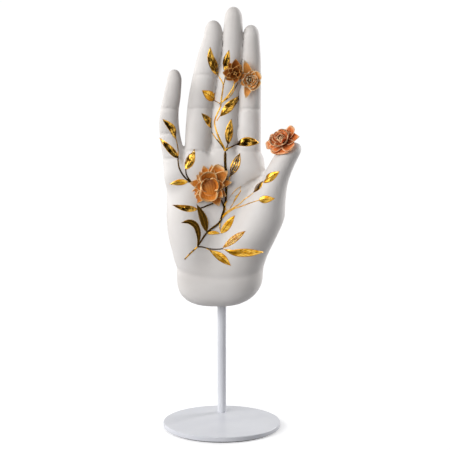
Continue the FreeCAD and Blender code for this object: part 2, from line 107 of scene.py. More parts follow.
def eased(at: Array, steps: Row, values: Row) -> Array:
    """Read a table smoothly: a cubic between steps whose slope at each is the mean of its neighbours'.

    Args:
        at: Where to read it; held at the first and last value outside the table.
        steps: Rising places.
        values: The value at each place.

    Returns:
        An array shaped like at.
    """
    x, y = np.asarray(steps, float), np.asarray(values, float)
    slopes = np.gradient(y, x)
    p = np.clip(at, x[0], x[-1])
    i = np.clip(np.searchsorted(x, p, side="right") - 1, 0, len(x) - 2)
    span = x[i + 1] - x[i]
    t = (p - x[i]) / span
    return (
        y[i] * (2 * t**3 - 3 * t**2 + 1)
        + slopes[i] * span * (t**3 - 2 * t**2 + t)
        + y[i + 1] * (3 * t**2 - 2 * t**3)
        + slopes[i + 1] * span * (t**3 - t**2)
    )


def smooth_path(points: Array, count: int) -> Array:
    """Resample a route as a smooth curve, evenly by length.

    Args:
        points: The route's points, one row each.
        count: How many points to return.

    Returns:
        Points on cubics through the route's points.
    """
    points = np.asarray(points, float)
    if len(points) == 2:
        return points[0] + (points[1] - points[0]) * np.linspace(0, 1, count)[:, None]
    runs = np.concatenate([[0], np.cumsum(np.linalg.norm(np.diff(points, axis=0), axis=1))])
    fineness = 12
    fine = np.linspace(0, runs[-1], fineness * count)
    dense = np.stack([eased(fine, runs, points[:, k]) for k in range(points.shape[1])], axis=-1)
    length = np.concatenate([[0], np.cumsum(np.linalg.norm(np.diff(dense, axis=0), axis=1))])
    even = np.linspace(0, length[-1], count)
    return np.stack([np.interp(even, length, dense[:, k]) for k in range(points.shape[1])], axis=-1)


@dataclass
class Surface:
    """A mesh in numbers: vertices in millimetres, faces, and optional pattern coordinates per vertex."""

    vertices: Array
    quads: Array
    triangles: Array = field(default_factory=lambda: np.zeros((0, 3), int))
    pattern: Array | None = None

    def make(self, name: str, body: str, finish: Material, slot: str) -> bpy.types.Object:
        """Put the surface into a Blender object that rides on a body.

        Args:
            name: The object's name.
            body: The body that it rides on.
            finish: Its material.
            slot: Not used.

        Returns:
            The new object, at the origin.
        """
        mesh = bpy.data.meshes.new(name)
        mesh.vertices.add(len(self.vertices))
        mesh.vertices.foreach_set("co", (self.vertices * MM).astype(np.float32).ravel())
        corners = np.concatenate([self.quads.ravel(), self.triangles.ravel()]).astype(np.int32)
        totals = np.concatenate([np.full(len(self.quads), 4), np.full(len(self.triangles), 3)])
        starts = np.concatenate([[0], np.cumsum(totals)[:-1]]).astype(np.int32)
        mesh.loops.add(len(corners))
        mesh.loops.foreach_set("vertex_index", corners)
        mesh.polygons.add(len(totals))
        mesh.polygons.foreach_set("loop_start", starts)
        if self.pattern is not None:
            layer = mesh.uv_layers.new(name="pattern")
            layer.data.foreach_set("uv", self.pattern[corners].astype(np.float32).ravel())
        mesh.update(calc_edges=True)
        mesh.validate()
        mesh.shade_smooth()
        mesh.materials.append(finish)
        made = bpy.data.objects.new(name, mesh)
        bpy.context.scene.collection.objects.link(made)
        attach(made, body)
        LOG.info("%s: %d vertices, %d faces", name, len(self.vertices), len(totals))
        return made


def joined(surfaces: list[Surface]) -> Surface:
    """Put patterned surfaces together as one, with their indices moved up in turn.

    Args:
        surfaces: Surfaces that all have a pattern.

    Returns:
        One surface with all their faces.
    """
    offsets = np.concatenate([[0], np.cumsum([len(s.vertices) for s in surfaces])[:-1]]).astype(int)
    return Surface(
        np.concatenate([s.vertices for s in surfaces]),
        np.concatenate([s.quads + o for s, o in zip(surfaces, offsets)]),
        np.concatenate([s.triangles + o for s, o in zip(surfaces, offsets)]),
        np.concatenate([s.pattern for s in surfaces]),
    )


def closed_tubes(rings: Array, pattern: Array) -> Surface:
    """Skin closed rings carried along a path, one tube for each entry, and close both ends.

    Each tube's side joins ring r to ring r + 1, point for point, and each end is a fan to the ring's mean. A
    tube whose signed volume, the sum of a . (b x c) over its triangles, is negative has its faces turned
    round.

    Args:
        rings: Points as tube, ring, place round the ring, and x, y, z.
        pattern: Pattern coordinates as tube, ring, place round the ring, and two numbers.

    Returns:
        The closed surface.
    """
    tubes, rows, around = rings.shape[:3]
    size = rows * around + 2
    index = np.arange(rows * around).reshape(rows, around)
    after = np.roll(index, -1, axis=1)
    side = np.stack([index[:-1], after[:-1], after[1:], index[1:]], axis=-1).reshape(-1, 4)
    low = np.stack([np.full(around, rows * around), after[0], index[0]], axis=-1)
    high = np.stack([np.full(around, rows * around + 1), index[-1], after[-1]], axis=-1)
    ends = np.concatenate([low, high])
    points, marks = (
        np.concatenate([values.reshape(tubes, size - 2, -1), values[:, [0, -1]].mean(axis=2)], axis=1)
        for values in (rings, pattern)
    )
    triples = np.concatenate([side[:, [0, 1, 2]], side[:, [0, 2, 3]], ends])
    p, q, r = (points[:, triples[:, k]] for k in range(3))
    volume = np.einsum("tij,tij->t", p, np.cross(q, r))
    shift = (np.arange(tubes) * size)[:, None, None]
    turned = (volume < 0)[:, None, None]
    quads = np.where(turned, side[None, :, ::-1], side[None]) + shift
    triangles = np.where(turned, ends[None, :, ::-1], ends[None]) + shift
    return Surface(*(values.reshape(-1, values.shape[-1]) for values in (points, quads, triangles, marks)))


# Camera


@dataclass(frozen=True)
class PhotoCamera:
    """The photograph's view: a long lens, looking slightly down. Millimetres and pixels."""

    place: Triple = (2.304, -1735.73, 501.65)
    pitch_degrees: float = 11.5
    focal_pixels: float = 2500.0
    frame_pixels: float = 450.0
    sensor_width: float = 36.0
    clip_metres: Pair = (0.1, 50.0)

    def build(self) -> None:
        """Make the camera and set it as the scene's."""
        data = bpy.data.cameras.new("photo_camera")
        data.sensor_width = self.sensor_width
        data.lens = self.focal_pixels / self.frame_pixels * self.sensor_width
        data.clip_start, data.clip_end = self.clip_metres
        camera = bpy.data.objects.new("photo_camera", data)
        camera.location = Vector(self.place) * MM
        camera.rotation_euler = Euler((math.radians(90 - self.pitch_degrees), 0, 0))
        bpy.context.scene.collection.objects.link(camera)
        bpy.context.scene.camera = camera

    def rays(self, pixels: Array) -> Array:
        """Directions of the lines of sight through pixels: right, up and ahead turned by the pitch.

        Args:
            pixels: Pixel places, two numbers in the last axis.

        Returns:
            Unit vectors, one for each pixel place.
        """
        pitch = math.radians(self.pitch_degrees)
        right = (pixels[..., 0] - self.frame_pixels / 2) / self.focal_pixels
        up = (self.frame_pixels / 2 - pixels[..., 1]) / self.focal_pixels
        away = up * math.sin(pitch) + math.cos(pitch)
        return unit(np.stack([right, away, up * math.cos(pitch) - math.sin(pitch)], axis=-1))


# Hand


class Place(NamedTuple):
    """Places in millimetres, as three arrays: x to the thumb, y to the back of the hand, z up."""

    x: Array
    y: Array
    z: Array


def oval(u: Array, v: Array, w: Array, scale: Array | float, power: float = 2.0) -> Array:
    """First-order distance to a rounded oval: (r - 1) / slope, where r is the power mean of u, v and w.

    The slope is the root of the summed squares of r's slopes along u, v and w, with v's share raised because
    a section is thinner than it is wide, and it is held up near the middle, where it would vanish.

    Args:
        u: Place across the oval, in half widths.
        v: Place through it, in half depths.
        w: Place past its end, in lengths of its rounding.
        scale: The half width.
        power: 2 for an ellipse, and more for a squarer oval.

    Returns:
        Distances, negative inside.
    """
    thin, least_slope = 1.15, 0.35
    au, av, aw = np.abs(u), np.abs(v), np.abs(w)
    r = np.maximum((au**power + av**power + aw**power) ** (1 / power), 1e-3)
    su, sv, sw = ((a / r) ** (2 * power - 2) for a in (au, av, aw))
    return (r - 1) * scale / np.maximum(np.sqrt(su + sv * thin + sw), least_slope)


@dataclass(frozen=True)
class Digit:
    """A finger: its axis and half widths at rising heights, its joint creases and its tip.

    Millimetres, and shares of the half width for fades, for the nail's width and for how far it is thinner.
    """

    heights: Row
    across: Row
    back: Row
    half_widths: Row
    tip_height: float
    creases: Row
    knuckle: float
    # Creases, from the palm upwards, and the finger's section
    root_crease: float = 0.55
    joint_creases: Row = (0.5, 0.4)
    crease_spreads: Row = (1.2, 1.1, 1.1)
    crease_bow: float = 1.5
    depth_share: float = 0.93
    section_power: float = 2.1
    root_round: float = 12.0
    # Where the palm side and the back fade in, then pads, the middle knuckle with its wrinkles, and the nail
    front_fade: Pair = (0.0, 0.75)
    rear_fade: Pair = (0.1, 0.7)
    side_reach: float = 1.6
    pad: float = 0.8
    pad_below_tip: float = 4.0
    knuckle_rise: float = 0.7
    knuckle_reach: float = 6.5
    wrinkles: Row = (-2.6, 0.0, 2.6)
    wrinkle_depth: float = 0.28
    wrinkle_spread: float = 0.7
    wrinkle_bow: float = 0.6
    nail_below_tip: float = 8.0
    nail_half_share: float = 0.72
    nail_half_length: float = 6.4
    nail_groove: float = 0.45
    nail_groove_share: float = 0.09
    nail_rise: float = 0.18

    def section(self, z: Array) -> tuple[Array, ...]:
        """Centre x and y and half width at height z."""
        return tuple(eased(z, self.heights, row) for row in (self.across, self.back, self.half_widths))

    def distance(self, at: Place) -> Array:
        """Signed distance to the finger: an oval that slides up the axis, with a rounded tip and root.

        Args:
            at: Where to read it.

        Returns:
            Distances, negative inside.
        """
        cx, cy, half = self.section(at.z)
        top = self.heights[-1]
        over = np.maximum(at.z - top, 0) / (self.tip_height - top)
        under = np.maximum(self.heights[0] - at.z, 0) / self.root_round
        u, v = (at.x - cx) / half, (at.y - cy) / (half * self.depth_share)
        return oval(u, v, over + under, half, self.section_power)

    def detail(self, at: Place) -> Array:
        """Pads and creases on the palm side, and a knuckle with its wrinkles and a nail on the back.

        A pad is a parabola between two creases. A crease or wrinkle is a bell, bowed down at the finger's
        sides.

        Args:
            at: Where to read it.

        Returns:
            How far the skin sinks, negative where it swells.
        """
        x, y, z = at
        cx, cy, half = self.section(z)
        side = (x - cx) / half
        front = smooth_step((cy - y) / half, *self.front_fade) * (np.abs(side) < self.side_reach)
        rear = smooth_step((y - cy) / half, *self.rear_fade)
        moved = np.zeros_like(x * y * z)
        marks = (*self.creases, self.tip_height - self.pad_below_tip)
        for low, high in zip(marks[:-1], marks[1:]):
            middle, reach = (low + high) / 2, (high - low) / 2
            moved = moved - self.pad * front * np.clip(1 - ((z - middle) / reach) ** 2, 0, 1)
        depths = (self.root_crease, *self.joint_creases)
        for depth, spread, mark in zip(depths, self.crease_spreads, self.creases):
            moved = moved + depth * front * bump(z - (mark - self.crease_bow * side**2), spread)
        moved = moved - self.knuckle_rise * rear * bump(z - self.knuckle, self.knuckle_reach)
        for step in self.wrinkles:
            line = z - self.knuckle - step + self.wrinkle_bow * side**2
            moved = moved + self.wrinkle_depth * rear * bump(line, self.wrinkle_spread)
        return moved + rear * self.nail(side, z)

    def nail(self, side: Array, z: Array) -> Array:
        """A raised plate with a groove round its rim, from an oblong distance across and up the fingertip.

        Args:
            side: Place across the finger, in half widths.
            z: Height.

        Returns:
            How far the skin sinks, negative on the plate.
        """
        across = np.abs(side) / self.nail_half_share
        along = np.abs(z - (self.tip_height - self.nail_below_tip)) / self.nail_half_length
        rim = (across**3 + along**3) ** (1 / 3) - 1
        return self.nail_groove * bump(rim, self.nail_groove_share) - self.nail_rise * (rim < 0)


INDEX = Digit(
    heights=(184.5, 204.4, 225.5, 245.4, 262.1, 278.7),
    across=(19.1, 19.4, 19.8, 20.4, 20.8, 20.8),
    back=(23.6, 25.4, 28.0, 29.0, 29.4, 29.2),
    half_widths=(8.7, 8.5, 8.1, 7.6, 7.0, 5.9),
    tip_height=287.3, creases=(198.4, 228.5, 254.0), knuckle=229.5,
)
MIDDLE = Digit(
    heights=(184.5, 207.0, 230.8, 253.4, 272.2, 290.5),
    across=(1.5, 1.8, 2.6, 5.1, 7.3, 8.3),
    back=(23.6, 25.8, 28.8, 28.8, 29.2, 29.4),
    half_widths=(9.5, 9.3, 9.2, 8.5, 7.6, 6.4),
    tip_height=300.2, creases=(200.2, 230.5, 259.0), knuckle=233.0,
)
RING = Digit(
    heights=(184.5, 204.8, 222.0, 232.0, 246.6, 256.0, 268.0, 280.5),
    across=(-17.5, -16.9, -16.1, -15.2, -12.7, -10.9, -8.4, -5.9),
    back=(23.6, 25.2, 27.8, 28.6, 27.4, 27.2, 28.0, 28.6),
    half_widths=(9.0, 9.3, 9.1, 9.0, 8.9, 8.7, 8.1, 6.5),
    tip_height=290.6, creases=(198.6, 229.0, 253.0), knuckle=230.5, root_crease=1.1,
)
LITTLE = Digit(
    heights=(181.5, 195.8, 211.0, 225.3, 237.2, 248.8),
    across=(-32.0, -34.6, -37.2, -37.3, -35.4, -33.6),
    back=(24.0, 25.0, 24.6, 22.6, 20.8, 19.2),
    half_widths=(8.2, 7.9, 7.3, 6.6, 6.2, 5.2),
    tip_height=256.9, creases=(193.0, 211.0, 229.5), knuckle=213.0,
)
DIGITS = (INDEX, MIDDLE, RING, LITTLE)


@dataclass(frozen=True)
class Mound:
    """An egg-shaped swelling on the palm, and the fillet that joins it. Millimetres."""

    centre: Triple
    radii: Triple
    fillet: float

    def distance(self, at: Place) -> Array:
        """Signed distance to the egg."""
        return oval(*((p - c) / r for p, c, r in zip(at, self.centre, self.radii)), min(self.radii))


@dataclass(frozen=True)
class Dimple:
    """A hollow, or a swelling where its depth is negative: a bell across times a bell up. Millimetres."""

    across: float
    up: float
    depth: float
    wide: float
    tall: float

    def sink(self, at: Place) -> Array:
        """How far the skin sinks at each place."""
        return self.depth * bump(at.x - self.across, self.wide) * bump(at.z - self.up, self.tall)


@dataclass(frozen=True)
class HandForm:
    """The hand as a distance field. Millimetres; x to the thumb, y to the back of the hand, z up."""

    # The palm and wrist, at rising heights
    heights: Row = (88.0, 95.0, 102.0, 110.0, 117.0, 124.5, 135.4, 146.9, 161.4, 176.5, 188.2, 196.0)
    left: Row = (-31.5, -31.9, -32.0, -31.2, -30.2, -31.2, -36.0, -38.7, -39.3, -39.6, -40.3, -40.6)
    right: Row = (24.8, 26.8, 28.2, 28.3, 28.0, 28.0, 28.0, 28.2, 29.0, 30.0, 30.4, 29.4)
    half_depths: Row = (20.2, 20.2, 20.2, 19.6, 19.0, 18.4, 17.0, 15.8, 14.2, 12.8, 11.2, 9.8)
    middle: Row = (25.0, 25.0, 25.0, 24.6, 24.2, 23.9, 23.8, 23.8, 24.4, 24.8, 25.2, 25.4)
    foot: float = 84.6
    foot_round: float = 20.0
    crown: float = 189.5
    crown_round: float = 11.0
    flat_power: float = 2.5
    end_power: float = 2.8
    # The thumb and its ball
    thumb_heights: Row = (108.0, 118.0, 127.0, 137.0, 151.0, 163.0, 176.5, 190.5, 198.0)
    thumb_across: Row = (11.0, 13.5, 16.5, 20.5, 28.3, 32.0, 36.8, 42.7, 46.6)
    thumb_back: Row = (24.0, 21.5, 19.0, 16.4, 14.4, 13.0, 11.2, 9.6, 8.8)
    thumb_widths: Row = (16.0, 17.3, 18.3, 18.8, 16.4, 13.4, 10.2, 9.1, 8.7)
    thumb_depths: Row = (12.0, 14.0, 15.0, 15.4, 14.4, 12.8, 10.4, 9.2, 8.6)
    thumb_tip: float = 206.3
    thumb_root_round: float = 14.0
    # Swellings: the little finger's side of the palm, then the roots of the four fingers
    mounds: tuple[Mound, ...] = (
        Mound((-23.0, 15.5, 138.0), (13.0, 11.0, 29.0), 9.0),
        Mound((19.0, 18.6, 185.0), (10.5, 6.0, 9.5), 4.0),
        Mound((1.0, 18.6, 186.0), (10.5, 6.0, 9.5), 4.0),
        Mound((-17.0, 18.6, 186.0), (10.5, 6.0, 9.5), 4.0),
        Mound((-31.5, 20.0, 181.0), (8.6, 7.0, 11.0), 4.0),
    )
    thumb_fillet: float = 7.0
    between_fingers: float = 0.6
    finger_fillet: float = 3.2
    # Where the palm's side and the back of the hand begin, and over how much depth each fades in
    palm_fade: Pair = (24.0, 8.0)
    rear_fade: Pair = (27.0, 6.0)
    # Hollows between the finger roots
    webs: tuple[Dimple, ...] = (
        Dimple(-26.6, 196.0, 4.0, 2.0, 5.0), Dimple(-8.4, 200.0, 1.8, 1.7, 3.6),
        Dimple(10.4, 200.5, 1.6, 1.7, 3.6),
    )
    # The socket for the rod, and the plain skin round it
    bore_radius: float = 5.12
    bore_top: float = 134.0
    rod_y: float = 25.0
    plain_radius: float = 7.5
    plain_above: float = 3.0
    # Relief: the fingers' own, the palm's hollow and crease, the wrist's fold as height, spread and depth
    finger_fade: float = 6.0
    finger_margin: float = 0.6
    palm_hollow: Dimple = Dimple(-4.0, 154.0, 3.4, 16.0, 30.0)
    palm_line: tuple[Pair, ...] = ((31.5, 181.5), (22.0, 177.0), (12.0, 171.0), (4.0, 160.0))
    palm_line_spread: float = 1.3
    palm_line_depth: float = 0.9
    wrist_fold: Triple = (108.2, 2.6, 0.5)
    wrist_fold_bow: float = 0.005
    wrist_fold_back: float = 0.3
    wrist_bone: Dimple = Dimple(-25.0, 119.0, -1.6, 8.0, 8.0)
    # Tendons on the back: where each starts, the lowest height and length of their run, and where they fade
    tendon_feet: Row = (6.0, 0.0, -6.0, -12.0)
    tendon_run: Pair = (112.0, 78.0)
    tendon_start: Pair = (112.0, 150.0)
    tendon_end: Pair = (196.0, 206.0)
    tendon_rise: float = 0.6
    tendon_spread: float = 2.6
    knuckle_rise: float = 1.6
    knuckle_spread: float = 6.5
    knuckle_above_root: float = 8.0
    # The net's box and spacing
    grid_low: Triple = (-48.0, -6.0, 82.0)
    grid_high: Triple = (62.0, 48.0, 303.5)
    pitch: float = 0.8
    quick_pitch: float = 1.3

    def palm(self, at: Place) -> Array:
        """The palm and wrist: an oblong section with a rounded foot and crown.

        Its distance is (r - 1) / slope, where r is the power mean of the section's own power mean and of the
        places past foot and crown, in lengths of their roundings.

        Args:
            at: Where to read it.

        Returns:
            Distances, negative inside.
        """
        x, y, z = at
        left, right = eased(z, self.heights, self.left), eased(z, self.heights, self.right)
        half, depth = (right - left) / 2, eased(z, self.heights, self.half_depths)
        cx, cy = (right + left) / 2, eased(z, self.heights, self.middle)
        under = np.maximum(self.foot + self.foot_round - z, 0) / self.foot_round
        over = np.maximum(z - self.crown, 0) / self.crown_round
        u, v = np.abs(x - cx) / half, np.abs(y - cy) / depth
        p, q = self.flat_power, self.end_power
        flat = (u**p + v**p) ** (1 / p)
        r = np.maximum((flat**q + under**q + over**q) ** (1 / q), 1e-3)
        shares = (u, half, p), (v, depth, p), (under, self.foot_round, q), (over, self.crown_round, q)
        slope = np.sqrt(sum((share / r) ** (2 * power - 2) / size**2 for share, size, power in shares))
        least_slope = 0.02
        return (r - 1) / np.maximum(slope, least_slope)

    def thumb(self, at: Place) -> Array:
        """The thumb and the ball at its root: an oval section carried up its leaning axis.

        Args:
            at: Where to read it.

        Returns:
            Distances, negative inside.
        """
        x, y, z = at
        cx, cy, wide, deep = (
            eased(z, self.thumb_heights, row)
            for row in (self.thumb_across, self.thumb_back, self.thumb_widths, self.thumb_depths)
        )
        low, before, top = self.thumb_heights[0], self.thumb_heights[-2], self.thumb_heights[-1]
        over = np.maximum(z - top, 0) / (self.thumb_tip - top)
        under = np.maximum(low - z, 0) / self.thumb_root_round
        lean = (self.thumb_across[-1] - self.thumb_across[-2]) / (top - before)
        cx = cx + np.maximum(z - top, 0) * lean
        return oval((x - cx) / wide, (y - cy) / deep, over + under, (wide + deep) / 2)

    def palm_side(self, y: Array) -> Array:
        """1 on the palm's side and 0 on the back."""
        plane, fade = self.palm_fade
        return smooth_step(plane - y, 0.0, fade)

    def base(self, at: Place) -> Array:
        """Palm, thumb, mounds and fingers joined with fillets of their own sizes, and the bore cut out.

        Args:
            at: Where to read it.

        Returns:
            Distances, negative inside.
        """
        d = blend_min(self.palm(at), self.thumb(at), self.thumb_fillet)
        for mound in self.mounds:
            d = blend_min(d, mound.distance(at), mound.fillet)
        fingers = INDEX.distance(at)
        for digit in (MIDDLE, RING, LITTLE):
            fingers = blend_min(fingers, digit.distance(at), self.between_fingers)
        d = blend_min(d, fingers, self.finger_fillet)
        for web in self.webs:
            d = d + self.palm_side(at.y) * web.sink(at)
        ring = np.sqrt(at.x**2 + (at.y - self.rod_y) ** 2) - self.bore_radius
        return np.maximum(d, -np.maximum(ring, at.z - self.bore_top))

    def detail(self, at: Place) -> Array:
        """Creases, hollows, tendons and swellings over the whole hand, each a bell of a distance.

        Args:
            at: Where to read it.

        Returns:
            How far the skin sinks, negative where it swells.
        """
        x, y, z = at
        moved = np.zeros_like(x * y * z)
        for digit in DIGITS:
            cx, _, half = digit.section(z)
            beside = np.abs(x - cx) < half + self.finger_margin
            own = smooth_step(z, digit.creases[0] - self.finger_fade, digit.creases[0]) * beside
            moved = moved + own * digit.detail(at)
        palm = self.palm_side(y)
        plane, fade = self.rear_fade
        rear = smooth_step(y - plane, 0.0, fade)
        moved = moved + palm * (self.palm_hollow.sink(at) + self.palm_line_depth * self.palm_crease(x, z))
        height, spread, depth = self.wrist_fold
        share = self.wrist_fold_back + (1 - self.wrist_fold_back) * palm
        moved = moved + depth * bump(z - height - self.wrist_fold_bow * x**2, spread) * share
        moved = moved + rear * self.wrist_bone.sink(at)
        low, run = self.tendon_run
        shown = smooth_step(z, *self.tendon_start) * (1 - smooth_step(z, *self.tendon_end))
        for digit, foot in zip(DIGITS, self.tendon_feet):
            head = digit.across[0]
            line = foot + (head - foot) * np.clip((z - low) / run, 0, 1)
            moved = moved - self.tendon_rise * rear * shown * bump(x - line, self.tendon_spread)
            above = z - digit.heights[0] - self.knuckle_above_root
            swell = bump(x - head, self.knuckle_spread) * bump(above, self.knuckle_spread)
            moved = moved - self.knuckle_rise * rear * swell
        return moved

    def palm_crease(self, x: Array, z: Array) -> Array:
        """The palm's crease: a bell of the distance, seen from the front, to its route's nearest run.

        Args:
            x: Places across.
            z: Heights.

        Returns:
            1 on the route, falling to 0 beside it.
        """
        nearest = np.full(np.broadcast(x, z).shape, np.inf)
        for (ax, az), (bx, bz) in zip(self.palm_line[:-1], self.palm_line[1:]):
            length = (bx - ax) ** 2 + (bz - az) ** 2
            t = np.clip(((x - ax) * (bx - ax) + (z - az) * (bz - az)) / length, 0, 1)
            nearest = np.minimum(nearest, np.hypot(x - ax - t * (bx - ax), z - az - t * (bz - az)))
        return bump(nearest, self.palm_line_spread)

    def distance(self, points: Array) -> Array:
        """Signed distance with all detail, except round the bore, which stays plain.

        Args:
            points: Rows of x, y and z.

        Returns:
            Distances, negative inside.
        """
        at = Place(*np.moveaxis(points, -1, 0))
        round_bore = np.hypot(at.x, at.y - self.rod_y) < self.plain_radius
        plain = round_bore & (at.z < self.bore_top + self.plain_above)
        return self.base(at) + np.where(plain, 0.0, self.detail(at))

    def slope(self, points: Array, step: float = 0.06) -> Array:
        """Gradient of the distance, from four samples at a small tetrahedron's corners."""
        corners = np.array([[1, -1, -1], [-1, -1, 1], [-1, 1, -1], [1, 1, 1]], float)
        return sum(c * self.distance(points + c * step)[..., None] for c in corners) / (4 * step)

    def settle(self, points: Array, rounds: int = 4) -> tuple[Array, Array]:
        """Move points on to the surface by Newton steps along the gradient, each held to a longest step.

        Args:
            points: Points near the surface.
            rounds: How many steps to take.

        Returns:
            The moved points and their outward normals.
        """
        longest, least_square = 0.8, 0.2
        for _ in range(rounds):
            g = self.slope(points)
            square = np.maximum((g**2).sum(-1, keepdims=True), least_square)
            steps = self.distance(points)[..., None] * g / square
            points = points - np.clip(steps, -longest, longest)
        return points, unit(self.slope(points))

    def seen_at(self, camera: PhotoCamera, pixels: Array) -> tuple[Array, Array]:
        """Where lines of sight through pixels first meet the hand.

        Each line starts on a plane in front of the hand and is followed in steps of a share of the field's
        own distance, and a line that misses stops where it came nearest.

        Args:
            camera: The photograph's camera.
            pixels: Pixel places, two numbers in the last axis.

        Returns:
            Points on the surface and their outward normals.
        """
        front_plane, stride, back_step, longest, rounds = -18.0, 0.8, -1.0, 8.0, 30
        rays = camera.rays(pixels)
        start = np.array(camera.place)
        run = (front_plane - start[1]) / rays[..., 1]
        best, best_run = np.full(run.shape, np.inf), run
        for _ in range(rounds):
            d = self.base(Place(*np.moveaxis(start + rays * run[..., None], -1, 0)))
            closer = d < best
            best, best_run = np.where(closer, d, best), np.where(closer, run, best_run)
            run = run + np.clip(d * stride, back_step, longest)
        return self.settle(start + rays * best_run[..., None], 3)

    def skin(self, pitch: float) -> Surface:
        """Net the zero level of the field: one vertex for each grid cell that the surface crosses.

        A vertex is the mean of the crossings on its cell's edges, then settled on the detailed surface. Each
        grid edge that crosses the surface gives one four-sided face from the four cells round it.

        Args:
            pitch: Grid spacing.

        Returns:
            The closed skin.
        """
        axes = [np.arange(a, b, pitch) for a, b in zip(self.grid_low, self.grid_high)]
        level = self.base(Place(axes[0][:, None, None], axes[1][None, :, None], axes[2][None, None, :]))
        cells = tuple(n - 1 for n in level.shape)
        total, crossings = np.zeros((*cells, 3)), np.zeros(cells)
        for a, axis in product(product((0, 1), repeat=3), range(3)):
            if a[axis]:
                continue
            b = tuple(a[n] + (n == axis) for n in range(3))
            va, vb = (level[tuple(slice(o, o + n) for o, n in zip(c, cells))] for c in (a, b))
            cross = (va < 0) != (vb < 0)
            t = np.where(cross, va / np.where(cross, va - vb, 1.0), 0.0)
            crossings += cross
            for n in range(3):
                total[..., n] += cross * (a[n] + (t if n == axis else 0.0))
        used = crossings > 0
        number = np.full(cells, -1)
        number[used] = np.arange(used.sum())
        means = total[used] / crossings[used][:, None]
        vertices, _ = self.settle(np.array(self.grid_low) + pitch * (np.argwhere(used) + means))
        inside, quads = level < 0, []
        for axis in range(3):
            p, q = (axis + 1) % 3, (axis + 2) % 3
            inner = slice(1, -1)
            start = inside[tuple(slice(0, -1) if n == axis else inner for n in range(3))]
            end = inside[tuple(slice(1, None) if n == axis else inner for n in range(3))]
            step_p, step_q = np.eye(3, dtype=int)[[p, q]]
            at = np.argwhere(start != end) + step_p + step_q
            ring = [number[tuple((at - s).T)] for s in (step_p * 0, step_p, step_p + step_q, step_q)]
            face = np.stack(ring, axis=-1)
            quads.append(np.where(start[start != end][:, None], face, face[:, ::-1]))
        return Surface(vertices, np.concatenate(quads))

    def build(self, finish: Material) -> None:
        """Make the hand's skin, in place of its solid."""
        skin = self.skin(self.pitch)
        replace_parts(skin.make("hand_porcelain", "hand", finish, "porcelain_white"), "hand_shell")


# Gold foliage


class LeafStyle(Enum):
    """How a gold leaf is painted: its strips, each between two shares of the half width."""

    SOLID = ((-1.0, 1.0),)
    OPEN = ((-1.0, -0.62), (-0.44, -0.08), (0.08, 0.42), (0.6, 1.0))
    OUTLINE = ((-1.0, -0.5), (0.5, 1.0))


class ReflectionTone(Enum):
    """How the gold is coloured: bright gold, and shaded and dark copies painted darker to stand in for
    reflections of dark surroundings.
    """

    BRIGHT = "bright"
    SHADED = "shaded"
    DARK = "dark"


SOLID, OPEN, OUTLINE = LeafStyle
BRIGHT, SHADED, DARK = ReflectionTone


@dataclass(frozen=True)
class Leaf:
    """A painted leaf: its route from base to tip in the photograph's pixels, its width and its style."""

    route: tuple[Pair, ...]
    width: float
    style: LeafStyle = SOLID
    belly: float = 0.45
    tone: ReflectionTone = BRIGHT


@dataclass(frozen=True)
class Stem:
    """A painted stem: its route in the photograph's pixels and its width in millimetres at both ends."""

    route: tuple[Pair, ...]
    start_width: float = 1.1
    end_width: float = 0.8
    tone: ReflectionTone = BRIGHT
